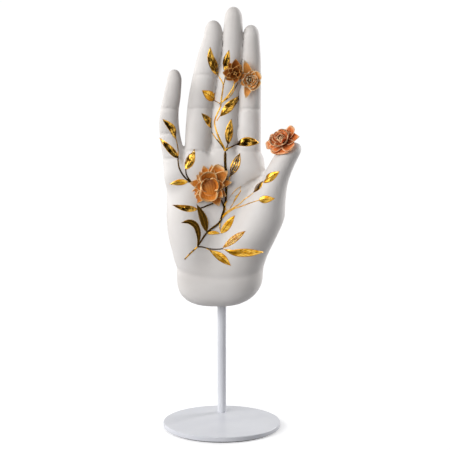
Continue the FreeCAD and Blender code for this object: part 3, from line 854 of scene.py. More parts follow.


# Each stem and leaf has a tone: bright gold, shaded with painted reflection patches, and dark as a painted
# dark reflection.
STEMS = (
    Stem(((184.2, 259.6), (190.8, 253), (197.8, 247)), 0.9, 1.2, SHADED),
    Stem(((197.6, 247.2), (204.3, 238.4), (209.2, 232.4), (215.2, 225.9), (219, 221.5), (221.7, 213.9),
          (223.9, 207.4), (225, 200.9), (225.9, 190), (226.1, 175.9), (225.2, 161.7), (225.3, 150.5)), 1.3,
          2.0, DARK),
    Stem(((225.3, 151), (221.4, 144.9), (215.3, 136.7), (211.2, 128.6)), 1.5, 0.7, SHADED),
    Stem(((225.0, 150), (220.6, 141), (216.8, 130.6), (215.3, 122.4), (217.3, 114.3), (220.6, 106.1),
          (221.4, 100), (223, 89.8), (223.5, 84.7), (221.4, 79.6), (218.2, 74.8)), 1.5, 0.8),
    Stem(((223.5, 85.2), (225, 79.6), (225.6, 72)), 0.8, 0.6, SHADED),
    Stem(((221.2, 103), (225.6, 98.5), (229.8, 92.6), (233.2, 86), (234.2, 79)), 1.1, 1.0),
    Stem(((224.0, 101), (229.5, 96.4), (233.6, 89.5), (237.5, 82)), 0.7, 0.7, SHADED),
    Stem(((220.3, 103.5), (217.8, 102.2), (214.6, 100.2)), 0.8, 0.6, SHADED),
    Stem(((217.2, 121), (218.8, 118), (221, 115)), 0.8, 0.6),
    Stem(((225.6, 150.5), (230.5, 147.4), (236.7, 144.2)), 1.3, 0.8, SHADED),
    Stem(((225.8, 150), (227, 147), (228, 143)), 1.1, 0.6, SHADED),
    Stem(((196, 184.5), (190.6, 181.6), (187.2, 179.6), (182.4, 174.2), (178.8, 166.5), (177.8, 158)), 1.4,
          0.9, DARK),
    Stem(((178.2, 161), (177.6, 150), (175.4, 138)), 0.8, 0.5, SHADED),
    Stem(((190.5, 181.5), (186.6, 175.2), (185.4, 168.4)), 1.2, 0.7, DARK),
    Stem(((190.5, 182.2), (187.4, 181.9)), 0.9, 0.6, DARK),
    Stem(((217.5, 201.6), (212.6, 203.9), (206.5, 206.4), (199, 208.6)), 1.2, 0.9, DARK),
    Stem(((220.6, 199.6), (221.8, 203), (223, 206.6)), 1.0, 1.0, DARK),
    Stem(((197.8, 247), (202.2, 247), (210.9, 248.7), (217.4, 248.9), (222.3, 248.4)), 1.0, 0.8, DARK),
    Stem(((206.6, 248), (210.4, 250.2)), 0.7, 0.5, SHADED),
    Stem(((228.6, 182.4), (229.4, 178.6), (230.6, 175)), 0.9, 0.7, SHADED),
    Stem(((219.4, 219.5), (223.2, 215), (229.6, 210.8), (240.2, 206.1), (252.2, 202.2), (259.8, 199.9)), 0.9,
          0.6),
    Stem(((220.6, 216.5), (226.8, 210.6), (233.4, 207.6), (239.4, 203.6), (244.6, 198.8), (249.4, 195.6),
          (254, 191.9)), 0.85, 0.6),
    Stem(((219.6, 222), (219.4, 227), (220.8, 231.8)), 0.7, 0.5),
    Stem(((222.8, 211), (226, 206.6), (228.6, 203)), 0.9, 0.7),
    Stem(((262.2, 184.5), (259.4, 187.2), (256.6, 190)), 0.5, 0.4),
)

LEAVES = (
    Leaf(((217.6, 75.5), (213.6, 66), (210.6, 57), (210.2, 46.9)), 8.2, SOLID, 0.4, SHADED),
    Leaf(((225.4, 72), (226.4, 62), (229.2, 49.8)), 6.8, SOLID, 0.42, SHADED),
    Leaf(((214.8, 100.4), (209.4, 95.4), (202, 90.2)), 9.6, SOLID, 0.4),
    Leaf(((220.4, 116.2), (229.4, 106.4), (240.3, 95.2)), 8.6, SOLID, 0.45, SHADED),
    Leaf(((211.2, 128.8), (207.6, 120.4), (201.4, 113.2)), 6.6, SOLID, 0.45, SHADED),
    Leaf(((228, 144.2), (228.8, 132), (230.8, 118.9)), 7.4, SOLID, 0.42, SHADED),
    Leaf(((236.4, 144.4), (247.4, 141.6), (258.6, 142.8)), 9.2, SOLID, 0.5, SHADED),
    Leaf(((175.6, 139.6), (171.6, 128), (163.2, 118.8)), 6.6, SOLID, 0.5, SHADED),
    Leaf(((177.6, 158.2), (171.6, 150.6), (160.2, 137.8)), 6.4, SOLID, 0.36, SHADED),
    Leaf(((186, 169.6), (190.2, 160.4), (194.6, 149.4)), 9.0, SOLID, 0.42, SHADED),
    Leaf(((188, 181.8), (179, 182.4), (169.6, 184)), 6.2, SOLID, 0.42),
    Leaf(((199.4, 208.8), (185.4, 208.2), (172.2, 205)), 6.6, SOLID, 0.42, SHADED),
    Leaf(((209, 231.6), (205.4, 217), (198.4, 204)), 8.8, SOLID, 0.45, DARK),
    Leaf(((197.6, 247), (199.8, 236.5), (196.6, 225.4), (189.4, 221.8), (181, 222.8)), 6.8, SOLID, 0.55,
          DARK),
    Leaf(((230.2, 177), (235, 166), (239.8, 153)), 8.6, OPEN, 0.5, SHADED),
    Leaf(((225.6, 209.4), (233, 197.6), (241.6, 186.8)), 5.6, OUTLINE, 0.6),
    Leaf(((228.6, 207), (233.4, 199.8), (239.2, 191.4)), 2.2, SOLID, 0.55),
    Leaf(((258.8, 200), (266.6, 199.2), (274.8, 198.6)), 7.6, SOLID, 0.38),
    Leaf(((253.6, 192.4), (258.4, 186.6), (263.2, 181)), 5.2, SOLID, 0.5, SHADED),
    Leaf(((263.6, 182.8), (270.6, 177.2), (279.4, 171.4)), 8.0),
    Leaf(((220.4, 232.6), (226.4, 224.4), (234, 214.8)), 6.2, SOLID, 0.42),
    Leaf(((209.6, 233.6), (214.6, 231.8), (219.6, 232.8)), 3.8, SOLID, 0.5),
    Leaf(((221.8, 247.6), (232.4, 239.4), (245.2, 231)), 7.8, OPEN, 0.48),
    Leaf(((222, 248.6), (232.4, 252.6), (246, 252.9), (263.2, 252)), 8.2, SOLID, 0.55),
    Leaf(((210, 249.6), (219.6, 256.4), (230.8, 265.8)), 8.0, SOLID, 0.5),
)


@dataclass(frozen=True)
class Foliage:
    """Painted gold stems and leaves, laid on the porcelain as a thin skin. Millimetres."""

    form: HandForm
    camera: PhotoCamera
    # How far the gold stands above the skin and reaches under it
    proud: float = 0.2
    sunk: float = 0.12
    # Stems: their net, their height as a share of proud, and their place in the gold's pattern
    stem_rows: int = 40
    stem_around: int = 10
    bead_share: float = 1.4
    stem_brush_marks: float = 4.0
    stem_pattern: Pair = (0.72, 0.12)
    # Leaves: their net, the height of their midrib, and the least width as a share of the whole
    leaf_rows: int = 36
    solid_across: int = 11
    strip_across: int = 4
    midrib: float = 0.3
    least_share: float = 0.03

    def stems(self, tone: ReflectionTone) -> Surface:
        """A flattened half-round bead carried along each stem's route on the hand.

        Round the bead, place = centre + side * (w / 2) cos a + normal * h root of sin a, with h proud above
        and sunk below. w runs evenly from the stem's start width to its end width, drawn in at both ends by
        the root of 1 - |2u - 1|^24. The pattern stays off the leaf's midrib and rim.

        Args:
            tone: Which stems.

        Returns:
            The beads.
        """
        stems = [stem for stem in STEMS if stem.tone is tone]
        routes = np.stack([smooth_path(np.array(stem.route), self.stem_rows) for stem in stems])
        centre, normal = self.form.seen_at(self.camera, routes)
        side = unit(np.cross(unit(np.gradient(centre, axis=1)), normal))
        u = np.linspace(0, 1, self.stem_rows)
        starts = np.array([stem.start_width for stem in stems])[:, None]
        ends = np.array([stem.end_width for stem in stems])[:, None]
        drawn_in = np.sqrt(np.clip(1 - (2 * np.abs(u - 0.5)) ** 24, self.least_share, 1))
        width = (starts + (ends - starts) * u) / 2 * drawn_in
        turn = np.linspace(0, 2 * math.pi, self.stem_around, endpoint=False)
        sine = np.sin(turn)
        reach = np.where(sine > 0, self.proud * self.bead_share, self.sunk)
        height = reach * np.sign(sine) * np.abs(sine) ** 0.5
        rings = (
            centre[:, :, None]
            + side[:, :, None] * (width[..., None] * np.cos(turn))[..., None]
            + normal[:, :, None] * height[:, None]
        )
        middle, swing = self.stem_pattern
        along, across = u[:, None] * self.stem_brush_marks, (middle + swing * np.cos(turn))[None]
        pattern = np.stack(np.broadcast_arrays(along, across), axis=-1)
        return closed_tubes(rings, np.broadcast_to(pattern, (*rings.shape[:3], 2)))

    def leaves(self, tone: ReflectionTone) -> Surface:
        """All the leaves' strips, each between two shares of its leaf's half width.

        The half width along a leaf is W * sin(pi u^k)^0.9, where k puts its widest place at the belly, laid
        out on the photograph's pixels square to the route, and each point is dropped along its line of sight
        on to the hand, then raised by a hair, least at the rim.

        Args:
            tone: Which leaves.

        Returns:
            The strips.
        """
        u = np.linspace(0.0, 1.0, self.leaf_rows)
        spots, shares = [], []
        for leaf in (leaf for leaf in LEAVES if leaf.tone is tone):
            axis = smooth_path(np.array(leaf.route), self.leaf_rows)
            along = unit(np.gradient(axis, axis=0))
            side = np.stack([-along[:, 1], along[:, 0]], axis=-1)
            bulge = np.clip(np.sin(math.pi * u ** (math.log(0.5) / math.log(leaf.belly))), 0, 1)
            half = leaf.width / 2 * np.maximum(bulge**0.9, self.least_share)
            for low, high in leaf.style.value:
                share = np.linspace(low, high, self.solid_across if high - low > 1 else self.strip_across)
                spot = axis[:, None] + side[:, None] * (half[:, None] * share)[..., None]
                spots.append(spot.reshape(-1, 2))
                shares.append(share)
        places, normals = self.form.seen_at(self.camera, np.concatenate(spots))
        cuts = np.cumsum([len(spot) for spot in spots])[:-1]
        return joined([
            self.strip(u, share, point.reshape(len(u), -1, 3), normal.reshape(len(u), -1, 3))
            for share, point, normal in zip(shares, np.split(places, cuts), np.split(normals, cuts))
        ])

    def strip(self, u: Array, share: Array, point: Array, normal: Array) -> Surface:
        """One strip of a leaf, raised along the leaf's midrib and thinned at its own rims.

        Its lift is proud * (1 - 0.5 |t|^3) + midrib * (1 - |share|), where t runs from -1 to 1 across the
        strip.

        Args:
            u: Places along the leaf.
            share: Places across it, as shares of its half width.
            point: Points on the hand.
            normal: Their normals.

        Returns:
            The closed strip.
        """
        inset = np.abs(np.linspace(-1, 1, len(share)))
        lift = self.proud * (1 - 0.5 * inset**3) + self.midrib * (1 - np.abs(share))
        top, bottom = point + normal * lift[None, :, None], point - normal * self.sunk
        rings = np.concatenate([top, bottom[:, ::-1]], axis=1)
        v = np.concatenate([share, share[::-1]]) / 2 + 0.5
        pattern = np.stack(np.broadcast_arrays(u[:, None], v[None]), axis=-1)
        return closed_tubes(rings[None], pattern[None])

    def build(self, gold: dict[ReflectionTone, Material]) -> None:
        """Make the stems and the leaves of each tone.

        Args:
            gold: The material of each tone.
        """
        for tone, material in gold.items():
            for name, surface in (("stems", self.stems(tone)), ("leaves", self.leaves(tone))):
                surface.make(f"gold_{name}_{tone.value}", "hand", material, "porcelain_white")


# Blossoms


class PetalShape(Enum):
    """The outline of a petal."""

    POINTED = "pointed"
    ROUND = "round"


POINTED, ROUND = PetalShape


@dataclass(frozen=True)
class Petal:
    """A petal. Millimetres, and degrees for its direction round the blossom and its climb above its plane."""

    angle: float
    length: float
    width: float
    lift: float
    curl: float
    cup: float = 0.25
    shape: PetalShape = POINTED
    root: float = 1.4
    height: float = 1.2
    ruffle: float = 0.25


PETAL_SIZES = ("angle", "length", "width", "lift", "curl", "cup", "root", "height", "ruffle")


def whorl(count: int, turn: float, **sizes: float | PetalShape) -> tuple[Petal, ...]:
    """Petals of one size at even turns round the blossom."""
    return tuple(Petal(turn + 360 / count * i, **sizes) for i in range(count))


@dataclass(frozen=True)
class Blossom:
    """A blossom: the pixel where it sits, where it faces, and its petals, outermost first. Millimetres."""

    name: str
    pixel: Pair
    facing: Triple
    outer: tuple[Petal, ...]
    inner: tuple[Petal, ...]
    bud: tuple[Petal, ...]
    slot: str
    seed: int
    # How far the seat stands off the skin, the petals' thickness, and the dome that they grow from
    raise_by: float = 0.0
    thickness: float = 0.7
    boss_radius: float = 2.6
    boss_sunk: float = 1.2
    boss_rise: float = 1.8
    boss_circles: int = 9
    boss_around: int = 24
    boss_pattern: Pair = (0.15, 0.3)
    # How far single petals differ, and each petal's net and ribs
    vary: float = 0.07
    rows: int = 17
    across: int = 11
    midrib: float = 0.14
    ripple: float = 0.1

    def frame(self, form: HandForm, camera: PhotoCamera) -> tuple[Array, Array]:
        """Where the blossom sits.

        Args:
            form: The hand that carries it.
            camera: The photograph's camera.

        Returns:
            Its seat on the hand, and its three axes as rows, the last one its facing.
        """
        point, _ = form.seen_at(camera, np.array([self.pixel]))
        facing = unit(np.array(self.facing))
        side = unit(np.cross(np.array([0.0, 0.0, 1.0]), facing))
        return point[0] + facing * self.raise_by, np.stack([side, np.cross(facing, side), facing])

    def petals(self, petals: tuple[Petal, ...], random: np.random.Generator) -> Surface:
        """Petals in the blossom's own frame.

        Along a petal the midline climbs at lift + curl * u^1.3. Across it, a point lies at half * v to the
        side and cup * half * v^2 above the midline, plus a ruffle of sin(3 pi v + phase) that grows to the
        rim, a midrib, a bell of v / 0.14 that fades to the tip, and a ripple of cos(16 v) that grows to it. A
        pointed petal's half width is W * sin(pi u^0.75)^0.8 and a round one's is W * (1 - |2u - 1.15|^3)^0.5,
        and neither is less than the root's W * 0.4 (1 - u)^2. The petal thins by 0.55 |v|^3 to its rims and
        by half to its tip.

        Args:
            petals: The petals.
            random: Source of the small differences between petals.

        Returns:
            Closed petals.
        """
        n = len(petals)
        jitter = 1 + self.vary * random.uniform(-1, 1, (4, n, 1))
        phase = random.uniform(0, 2 * math.pi, (n, 1, 1))
        angle, length, width, lift, curl, cup, root, height, ruffle = (
            np.array([getattr(petal, key) for petal in petals])[:, None] for key in PETAL_SIZES
        )
        u, v = np.linspace(0, 1, self.rows), np.linspace(-1, 1, self.across)
        along = u[:, None]
        climb = np.radians(lift * jitter[0] + curl * jitter[1] * u**1.3)
        step = np.maximum(length * jitter[2] - root, 1.0) / (self.rows - 1)
        run, rise = (
            np.concatenate([np.zeros((n, 1)), np.cumsum(wave(climb[:, 1:]) * step, axis=1)], axis=1) + start
            for wave, start in ((np.cos, root), (np.sin, height))
        )
        pointed = np.clip(np.sin(math.pi * u**0.75), 0, 1) ** 0.8
        rounded = np.clip(1 - np.abs(2 * u - 1.15) ** 3, 0, 1) ** 0.5
        round_tip = np.array([petal.shape is ROUND for petal in petals])[:, None]
        shape = np.maximum(np.where(round_tip, rounded, pointed), 0.4 * (1 - u) ** 2 + 0.02)
        half = (width / 2 * jitter[3] * shape)[..., None]
        wavy = ruffle[..., None] * np.sin(3 * math.pi * v + phase) * v**2 * along
        ribbed = self.midrib * bump(v, 0.14) * (1 - along)
        rippled = self.ripple * np.cos(v * 16.0) * along * (1 - v**2)
        swell = cup[..., None] * half * v**2 + wavy + ribbed + rippled
        thin = self.thickness / 2 * (1 - 0.55 * np.abs(v) ** 3) * (1 - 0.5 * along)
        faces = []
        for offset in (thin, -thin):
            radial = run[..., None] - np.sin(climb)[..., None] * (swell + offset)
            upward = rise[..., None] + np.cos(climb)[..., None] * (swell + offset)
            faces.append(np.stack([radial, np.broadcast_to(half * v, radial.shape), upward], axis=-1))
        rings = np.concatenate([faces[0], faces[1][:, :, ::-1]], axis=2)
        c, s = np.cos(np.radians(angle))[..., None], np.sin(np.radians(angle))[..., None]
        x, y = rings[..., 0], rings[..., 1]
        rings = np.stack([x * c - y * s, x * s + y * c, rings[..., 2]], axis=-1)
        wide = np.concatenate([v, v[::-1]]) / 2 + 0.5
        pattern = np.stack(np.broadcast_arrays(u[:, None], wide[None]), axis=-1)
        return closed_tubes(rings, np.broadcast_to(pattern, (*rings.shape[:3], 2)))

    def boss(self) -> Surface:
        """The dome that the petals grow from, from under the skin upwards.

        Its circles have the radius R * (1 - 0.45 t^2), and the last one 0.4 of that, which closes the dome.
        Its pattern is that of a petal's base, so it takes the painted shade there.

        Returns:
            The closed dome.
        """
        t = np.linspace(0, 1, self.boss_circles)
        turn = np.linspace(0, 2 * math.pi, self.boss_around, endpoint=False)
        radius = (self.boss_radius * (1 - 0.45 * t**2) * np.where(t == 1, 0.4, 1.0))[:, None]
        reach = self.boss_sunk + self.boss_rise + self.raise_by
        height = (reach * t - self.boss_sunk - self.raise_by)[:, None]
        circles = np.broadcast_arrays(radius * np.cos(turn), radius * np.sin(turn), height)
        rings = np.stack(circles, axis=-1)
        return closed_tubes(rings[None], np.full((1, *rings.shape[:2], 2), self.boss_pattern))

    def build(self, form: HandForm, camera: PhotoCamera, glaze: Material) -> None:
        """Make the outer petals, the inner petals and the bud, each in place of its solid.

        Args:
            form: The hand that carries the blossom.
            camera: The photograph's camera.
            glaze: The petals' material.
        """
        seat, axes = self.frame(form, camera)
        random = np.random.default_rng(self.seed)
        for part, petals in (("outer_petals", self.outer), ("inner_petals", self.inner), ("bud", self.bud)):
            surface = self.petals(petals, random)
            if petals is self.outer:
                surface = joined([surface, self.boss()])
            surface.vertices = seat + surface.vertices @ axes
            made = surface.make(f"{self.name}_{part}_formed", "hand", glaze, self.slot)
            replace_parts(made, f"{self.name}_{part}")


PALM_BLOSSOM = Blossom(
    "palm_blossom", (210.8, 185.5), (-0.06, -1.0, 0.12),
    (
        Petal(144, 12.4, 7.2, 6, 10), Petal(173, 15.0, 7.8, 4, 8), Petal(204, 16.2, 7.0, 3, 7),
        Petal(229, 17.2, 8.0, 3, 6), Petal(262, 13.0, 7.4, 4, 8), Petal(294, 15.6, 9.2, 4, 8),
        Petal(326, 13.2, 7.8, 4, 8), Petal(9, 16.6, 7.6, 3, 7), Petal(86, 15.2, 6.4, 6, 9),
        Petal(110, 15.6, 7.8, 4, 8), Petal(62, 17.4, 9.6, 5, 10, 0.35, ROUND),
    ),
    (
        Petal(40, 17.0, 9.6, 10, 10, 0.3, POINTED, 1.4, 1.8),
        Petal(128, 12.6, 8.6, 15, 14, 0.35, POINTED, 1.3, 1.8),
        Petal(186, 12.4, 8.2, 16, 14, 0.35, POINTED, 1.3, 1.8),
        Petal(318, 12.6, 8.6, 14, 14, 0.35, POINTED, 1.3, 1.8),
        Petal(2, 11.8, 8.6, 18, 16, 0.4, POINTED, 1.2, 2.0),
        Petal(238, 13.2, 8.8, 13, 14, 0.35, POINTED, 1.3, 1.8),
    ),
    (
        Petal(262, 13.6, 14.0, 15, 44, 0.42, ROUND, 0.8, 2.0, 0.1),
        Petal(100, 12.4, 12.6, 20, 34, 0.42, ROUND, 0.8, 2.2, 0.1),
        Petal(20, 9.4, 9.4, 32, 34, 0.5, ROUND, 0.8, 2.4, 0.1),
        Petal(172, 9.4, 9.4, 32, 34, 0.5, ROUND, 0.8, 2.4, 0.1),
        Petal(262, 9.6, 13.0, 30, -62, -0.3, ROUND, -6.2, 4.2, 0.1),
    ),
    "blossom_amber", 11,
)
THUMB_BLOSSOM = Blossom(
    "thumb_blossom", (285.6, 144.0), (-0.40, -0.72, 0.58),
    (
        Petal(180, 10.4, 8.6, 8, 20, 0.3, ROUND), Petal(208, 12.4, 7.6, 2, 14, 0.3, ROUND),
        Petal(282, 11.6, 16.0, 0, 10, 0.16, ROUND, 1.4, 1.0, 0.6), Petal(328, 11.2, 9.4, 4, 16, 0.3, ROUND),
        Petal(14, 14.0, 9.0, 8, 16, 0.35), Petal(50, 12.6, 7.8, 14, 22, 0.4, ROUND),
        Petal(92, 8.4, 9.0, 12, 20, 0.3, ROUND), Petal(138, 8.2, 8.6, 14, 22, 0.3, ROUND),
        Petal(238, 10.4, 9.2, 4, 14, 0.3, ROUND),
    ),
    (
        Petal(30, 9.6, 8.0, 30, 30, 0.45, ROUND, 1.2, 2.0, 0.4),
        Petal(76, 8.8, 8.6, 34, 30, 0.4, ROUND, 1.2, 2.0, 0.4),
        Petal(118, 7.2, 8.4, 36, 34, 0.4, ROUND, 1.2, 2.2, 0.3),
        Petal(165, 8.6, 8.4, 32, 32, 0.4, ROUND, 1.2, 2.0, 0.4),
        Petal(222, 9.4, 9.6, 24, 30, 0.4, ROUND, 1.2, 2.0, 0.4),
        Petal(276, 8.4, 9.4, 28, 32, 0.4, ROUND, 1.2, 2.0, 0.4),
        Petal(332, 8.6, 8.6, 30, 30, 0.4, ROUND, 1.2, 2.0, 0.4),
    ),
    (
        *whorl(4, 20, length=6.4, width=7.4, lift=54, curl=46, cup=0.55, shape=ROUND, root=1.0, height=2.6,
              ruffle=0.2),
        *whorl(3, 70, length=5.0, width=5.6, lift=66, curl=56, cup=0.75, shape=ROUND, root=0.7, height=2.8,
              ruffle=0.1),
        *whorl(3, 10, length=3.4, width=3.8, lift=74, curl=60, cup=0.9, shape=ROUND, root=0.3, height=3.0,
              ruffle=0.0),
    ),
    "blossom_coral", 23, raise_by=3.4,
)
MIDDLE_BLOSSOM = Blossom(
    "middle_finger_blossom", (236.0, 73.5), (-0.12, -1.0, 0.15),
    (
        Petal(90, 11.0, 7.0, 18, 14, 0.45), Petal(126, 10.4, 5.0, 12, 12, 0.3),
        Petal(177, 10.0, 7.0, 10, 12, 0.3), Petal(212, 8.6, 6.0, 10, 14, 0.3),
        Petal(58, 8.6, 5.8, 20, 18, 0.35), Petal(322, 7.0, 5.6, 20, 18, 0.35),
        Petal(15, 6.4, 5.4, 30, 18, 0.35),
    ),
    (
        Petal(272, 8.2, 5.2, 26, 16, 0.5, POINTED, 0.9, 1.6),
        Petal(150, 7.4, 5.4, 34, 20, 0.4, POINTED, 0.9, 1.6),
        Petal(80, 7.2, 6.0, 40, 22, 0.5, POINTED, 0.9, 1.8),
        Petal(220, 7.0, 5.4, 36, 22, 0.4, POINTED, 0.9, 1.6),
        Petal(350, 6.0, 5.0, 42, 22, 0.4, POINTED, 0.9, 1.6),
    ),
    (
        *whorl(4, 20, length=4.0, width=3.8, lift=62, curl=48, cup=0.7, root=0.5, height=2.0, ruffle=0.1),
    ),
    "blossom_amber", 37, raise_by=0.4, thickness=0.55, boss_radius=1.8,
)
INDEX_BLOSSOM = Blossom(
    "index_finger_blossom", (249.6, 79.4), (0.1, -1.0, 0.06),
    (
        Petal(106, 14.6, 6.6, 8, 10, 0.35), Petal(256, 13.0, 5.8, 8, 12, 0.35),
        Petal(30, 8.8, 8.0, 20, 18, 0.35, ROUND), Petal(312, 9.4, 9.4, 16, 20, 0.35, ROUND),
        Petal(152, 8.6, 5.8, 12, 16, 0.3), Petal(205, 8.6, 5.8, 12, 16, 0.3),
        Petal(72, 8.6, 6.2, 22, 18, 0.35),
    ),
    (
        Petal(0, 7.4, 7.0, 30, 24, 0.45, ROUND, 1.0, 1.8, 0.4),
        Petal(285, 7.4, 7.0, 28, 24, 0.45, ROUND, 1.0, 1.8, 0.4),
        Petal(335, 6.6, 6.2, 40, 26, 0.45, ROUND, 0.9, 2.0, 0.3),
        Petal(120, 7.0, 6.0, 32, 22, 0.4, ROUND, 0.9, 1.8, 0.3),
        Petal(190, 6.8, 6.0, 32, 22, 0.4, ROUND, 0.9, 1.8, 0.3),
        Petal(240, 7.2, 6.0, 30, 22, 0.4, ROUND, 0.9, 1.8, 0.3),
    ),
    (
        *whorl(6, 10, length=5.2, width=4.0, lift=40, curl=40, cup=0.6, shape=ROUND, root=0.8, height=2.2,
              ruffle=0.3),
        *whorl(4, 40, length=3.2, width=3.0, lift=60, curl=46, cup=0.7, shape=ROUND, root=0.3, height=2.4,
              ruffle=0.2),
    ),
    "blossom_gold", 41, raise_by=0.2, thickness=0.55, boss_radius=1.8,
)


# Finishes


FROM = ("From Min", "From Max")
TO = ("To Min", "To Max")


def add_node(
    tree: bpy.types.NodeTree, kind: str, settings: dict[str | int, object] | None = None,
    links: dict[str | int, Socket] | None = None,
) -> bpy.types.Node:
    """Add a node, set its properties and socket values, and link its inputs.

    Args:
        tree: The node tree.
        kind: The node's type name.
        settings: Values by property name or input, and under "stops" a ramp's places and hex colours.
        links: Output sockets by the input that each one feeds.

    Returns:
        The new node.
    """
    node = tree.nodes.new(kind)
    for key, value in (settings or {}).items():
        if key == "stops":
            for element, (place, colour) in zip(node.color_ramp.elements, value):
                element.position, element.color = place, linear(colour)
        elif isinstance(key, str) and hasattr(node, key):
            setattr(node, key, value)
        else:
            node.inputs[key].default_value = value
    for key, socket in (links or {}).items():
        tree.links.new(socket, node.inputs[key])
    return node


def new_material(name: str) -> tuple[Material, bpy.types.Node, AddNode]:
    """Start a material.

    Args:
        name: Its name.

    Returns:
        The material, its Principled shader, and add_node for its own tree.
    """
    material = bpy.data.materials.new(name)
    material.use_nodes = True
    tree = material.node_tree
    return material, tree.nodes["Principled BSDF"], partial(add_node, tree)


def feed(shader: bpy.types.Node, **sources: Socket | float | Row) -> None:
    """Link or set the shader's inputs, named with underscores for spaces.

    Args:
        shader: The shader.
        sources: An output socket to link, or a constant to set on the shader's own socket.
    """
    for key, source in sources.items():
        target = shader.inputs[key.replace("_", " ")]
        if isinstance(source, Socket):
            shader.id_data.links.new(source, target)
        else:
            target.default_value = source


def pattern_sockets(add: AddNode) -> tuple[Socket, ...]:
    """A leaf's or petal's own pattern, which follows its surface.

    Args:
        add: add_node for the material's tree.

    Returns:
        Sockets for the place along it, the place across it, and the distance from its middle line.
    """
    pattern = add("ShaderNodeUVMap", {"uv_map": "pattern"}).outputs["UV"]
    axes = add("ShaderNodeSeparateXYZ", links={"Vector": pattern}).outputs
    centred = add("ShaderNodeMath", {"operation": "SUBTRACT", 1: 0.5}, {0: axes["Y"]}).outputs[0]
    return axes["X"], axes["Y"], add("ShaderNodeMath", {"operation": "ABSOLUTE"}, {0: centred}).outputs[0]


def tooth(add: AddNode, place: Socket, size_mm: float, height_mm: float) -> Socket:
    """A surface's fine tooth, from noise of a real size raised by a real height.

    Args:
        add: add_node for the material's tree.
        place: Coordinates.
        size_mm: The grains' size.
        height_mm: How high they stand.

    Returns:
        The socket of the surface's normal.
    """
    grain = add("ShaderNodeTexNoise", {"Scale": 1 / (size_mm * MM), "Detail": 2.0}, {"Vector": place})
    lift = add("ShaderNodeBump", {"Distance": height_mm * MM}, {"Height": grain.outputs["Fac"]})
    return lift.outputs["Normal"]


@dataclass(frozen=True)
class BisquePorcelain:
    """Bisque porcelain, slip cast, rubbed smooth and left unglazed.

    That gives the eye a matt warm white, cloudy over a few centimetres, with a dry, very fine tooth. The real
    grains are about 0.05 mm, too fine to show, so the tooth is drawn at 0.5 mm.
    """

    name: str = "bisque_porcelain"
    light: str = "#DDD9D6"
    dull: str = "#D5D0CC"
    roughness: float = 0.56
    ior: float = 1.5
    gloss: float = 0.35
    tooth_mm: float = 0.5
    tooth_height_mm: float = 0.012
    cloud_mm: float = 28.0
    tone_stops: Pair = (0.35, 0.65)

    def build(self) -> Material:
        """A faint cloudiness in the colour, and a tooth that catches the light.

        Returns:
            The material.
        """
        material, shader, add = new_material(self.name)
        place = add("ShaderNodeTexCoord").outputs["Object"]
        soft = {"Scale": 1 / (self.cloud_mm * MM), "Detail": 3.0}
        cloud = add("ShaderNodeTexNoise", soft, {"Vector": place}).outputs["Fac"]
        stops = tuple(zip(self.tone_stops, (self.dull, self.light)))
        tone = add("ShaderNodeValToRGB", {"stops": stops}, {"Fac": cloud})
        feed(
            shader, Base_Color=tone.outputs["Color"], Roughness=self.roughness, IOR=self.ior,
            Specular_IOR_Level=self.gloss, Normal=tooth(add, place, self.tooth_mm, self.tooth_height_mm),
        )
        return material


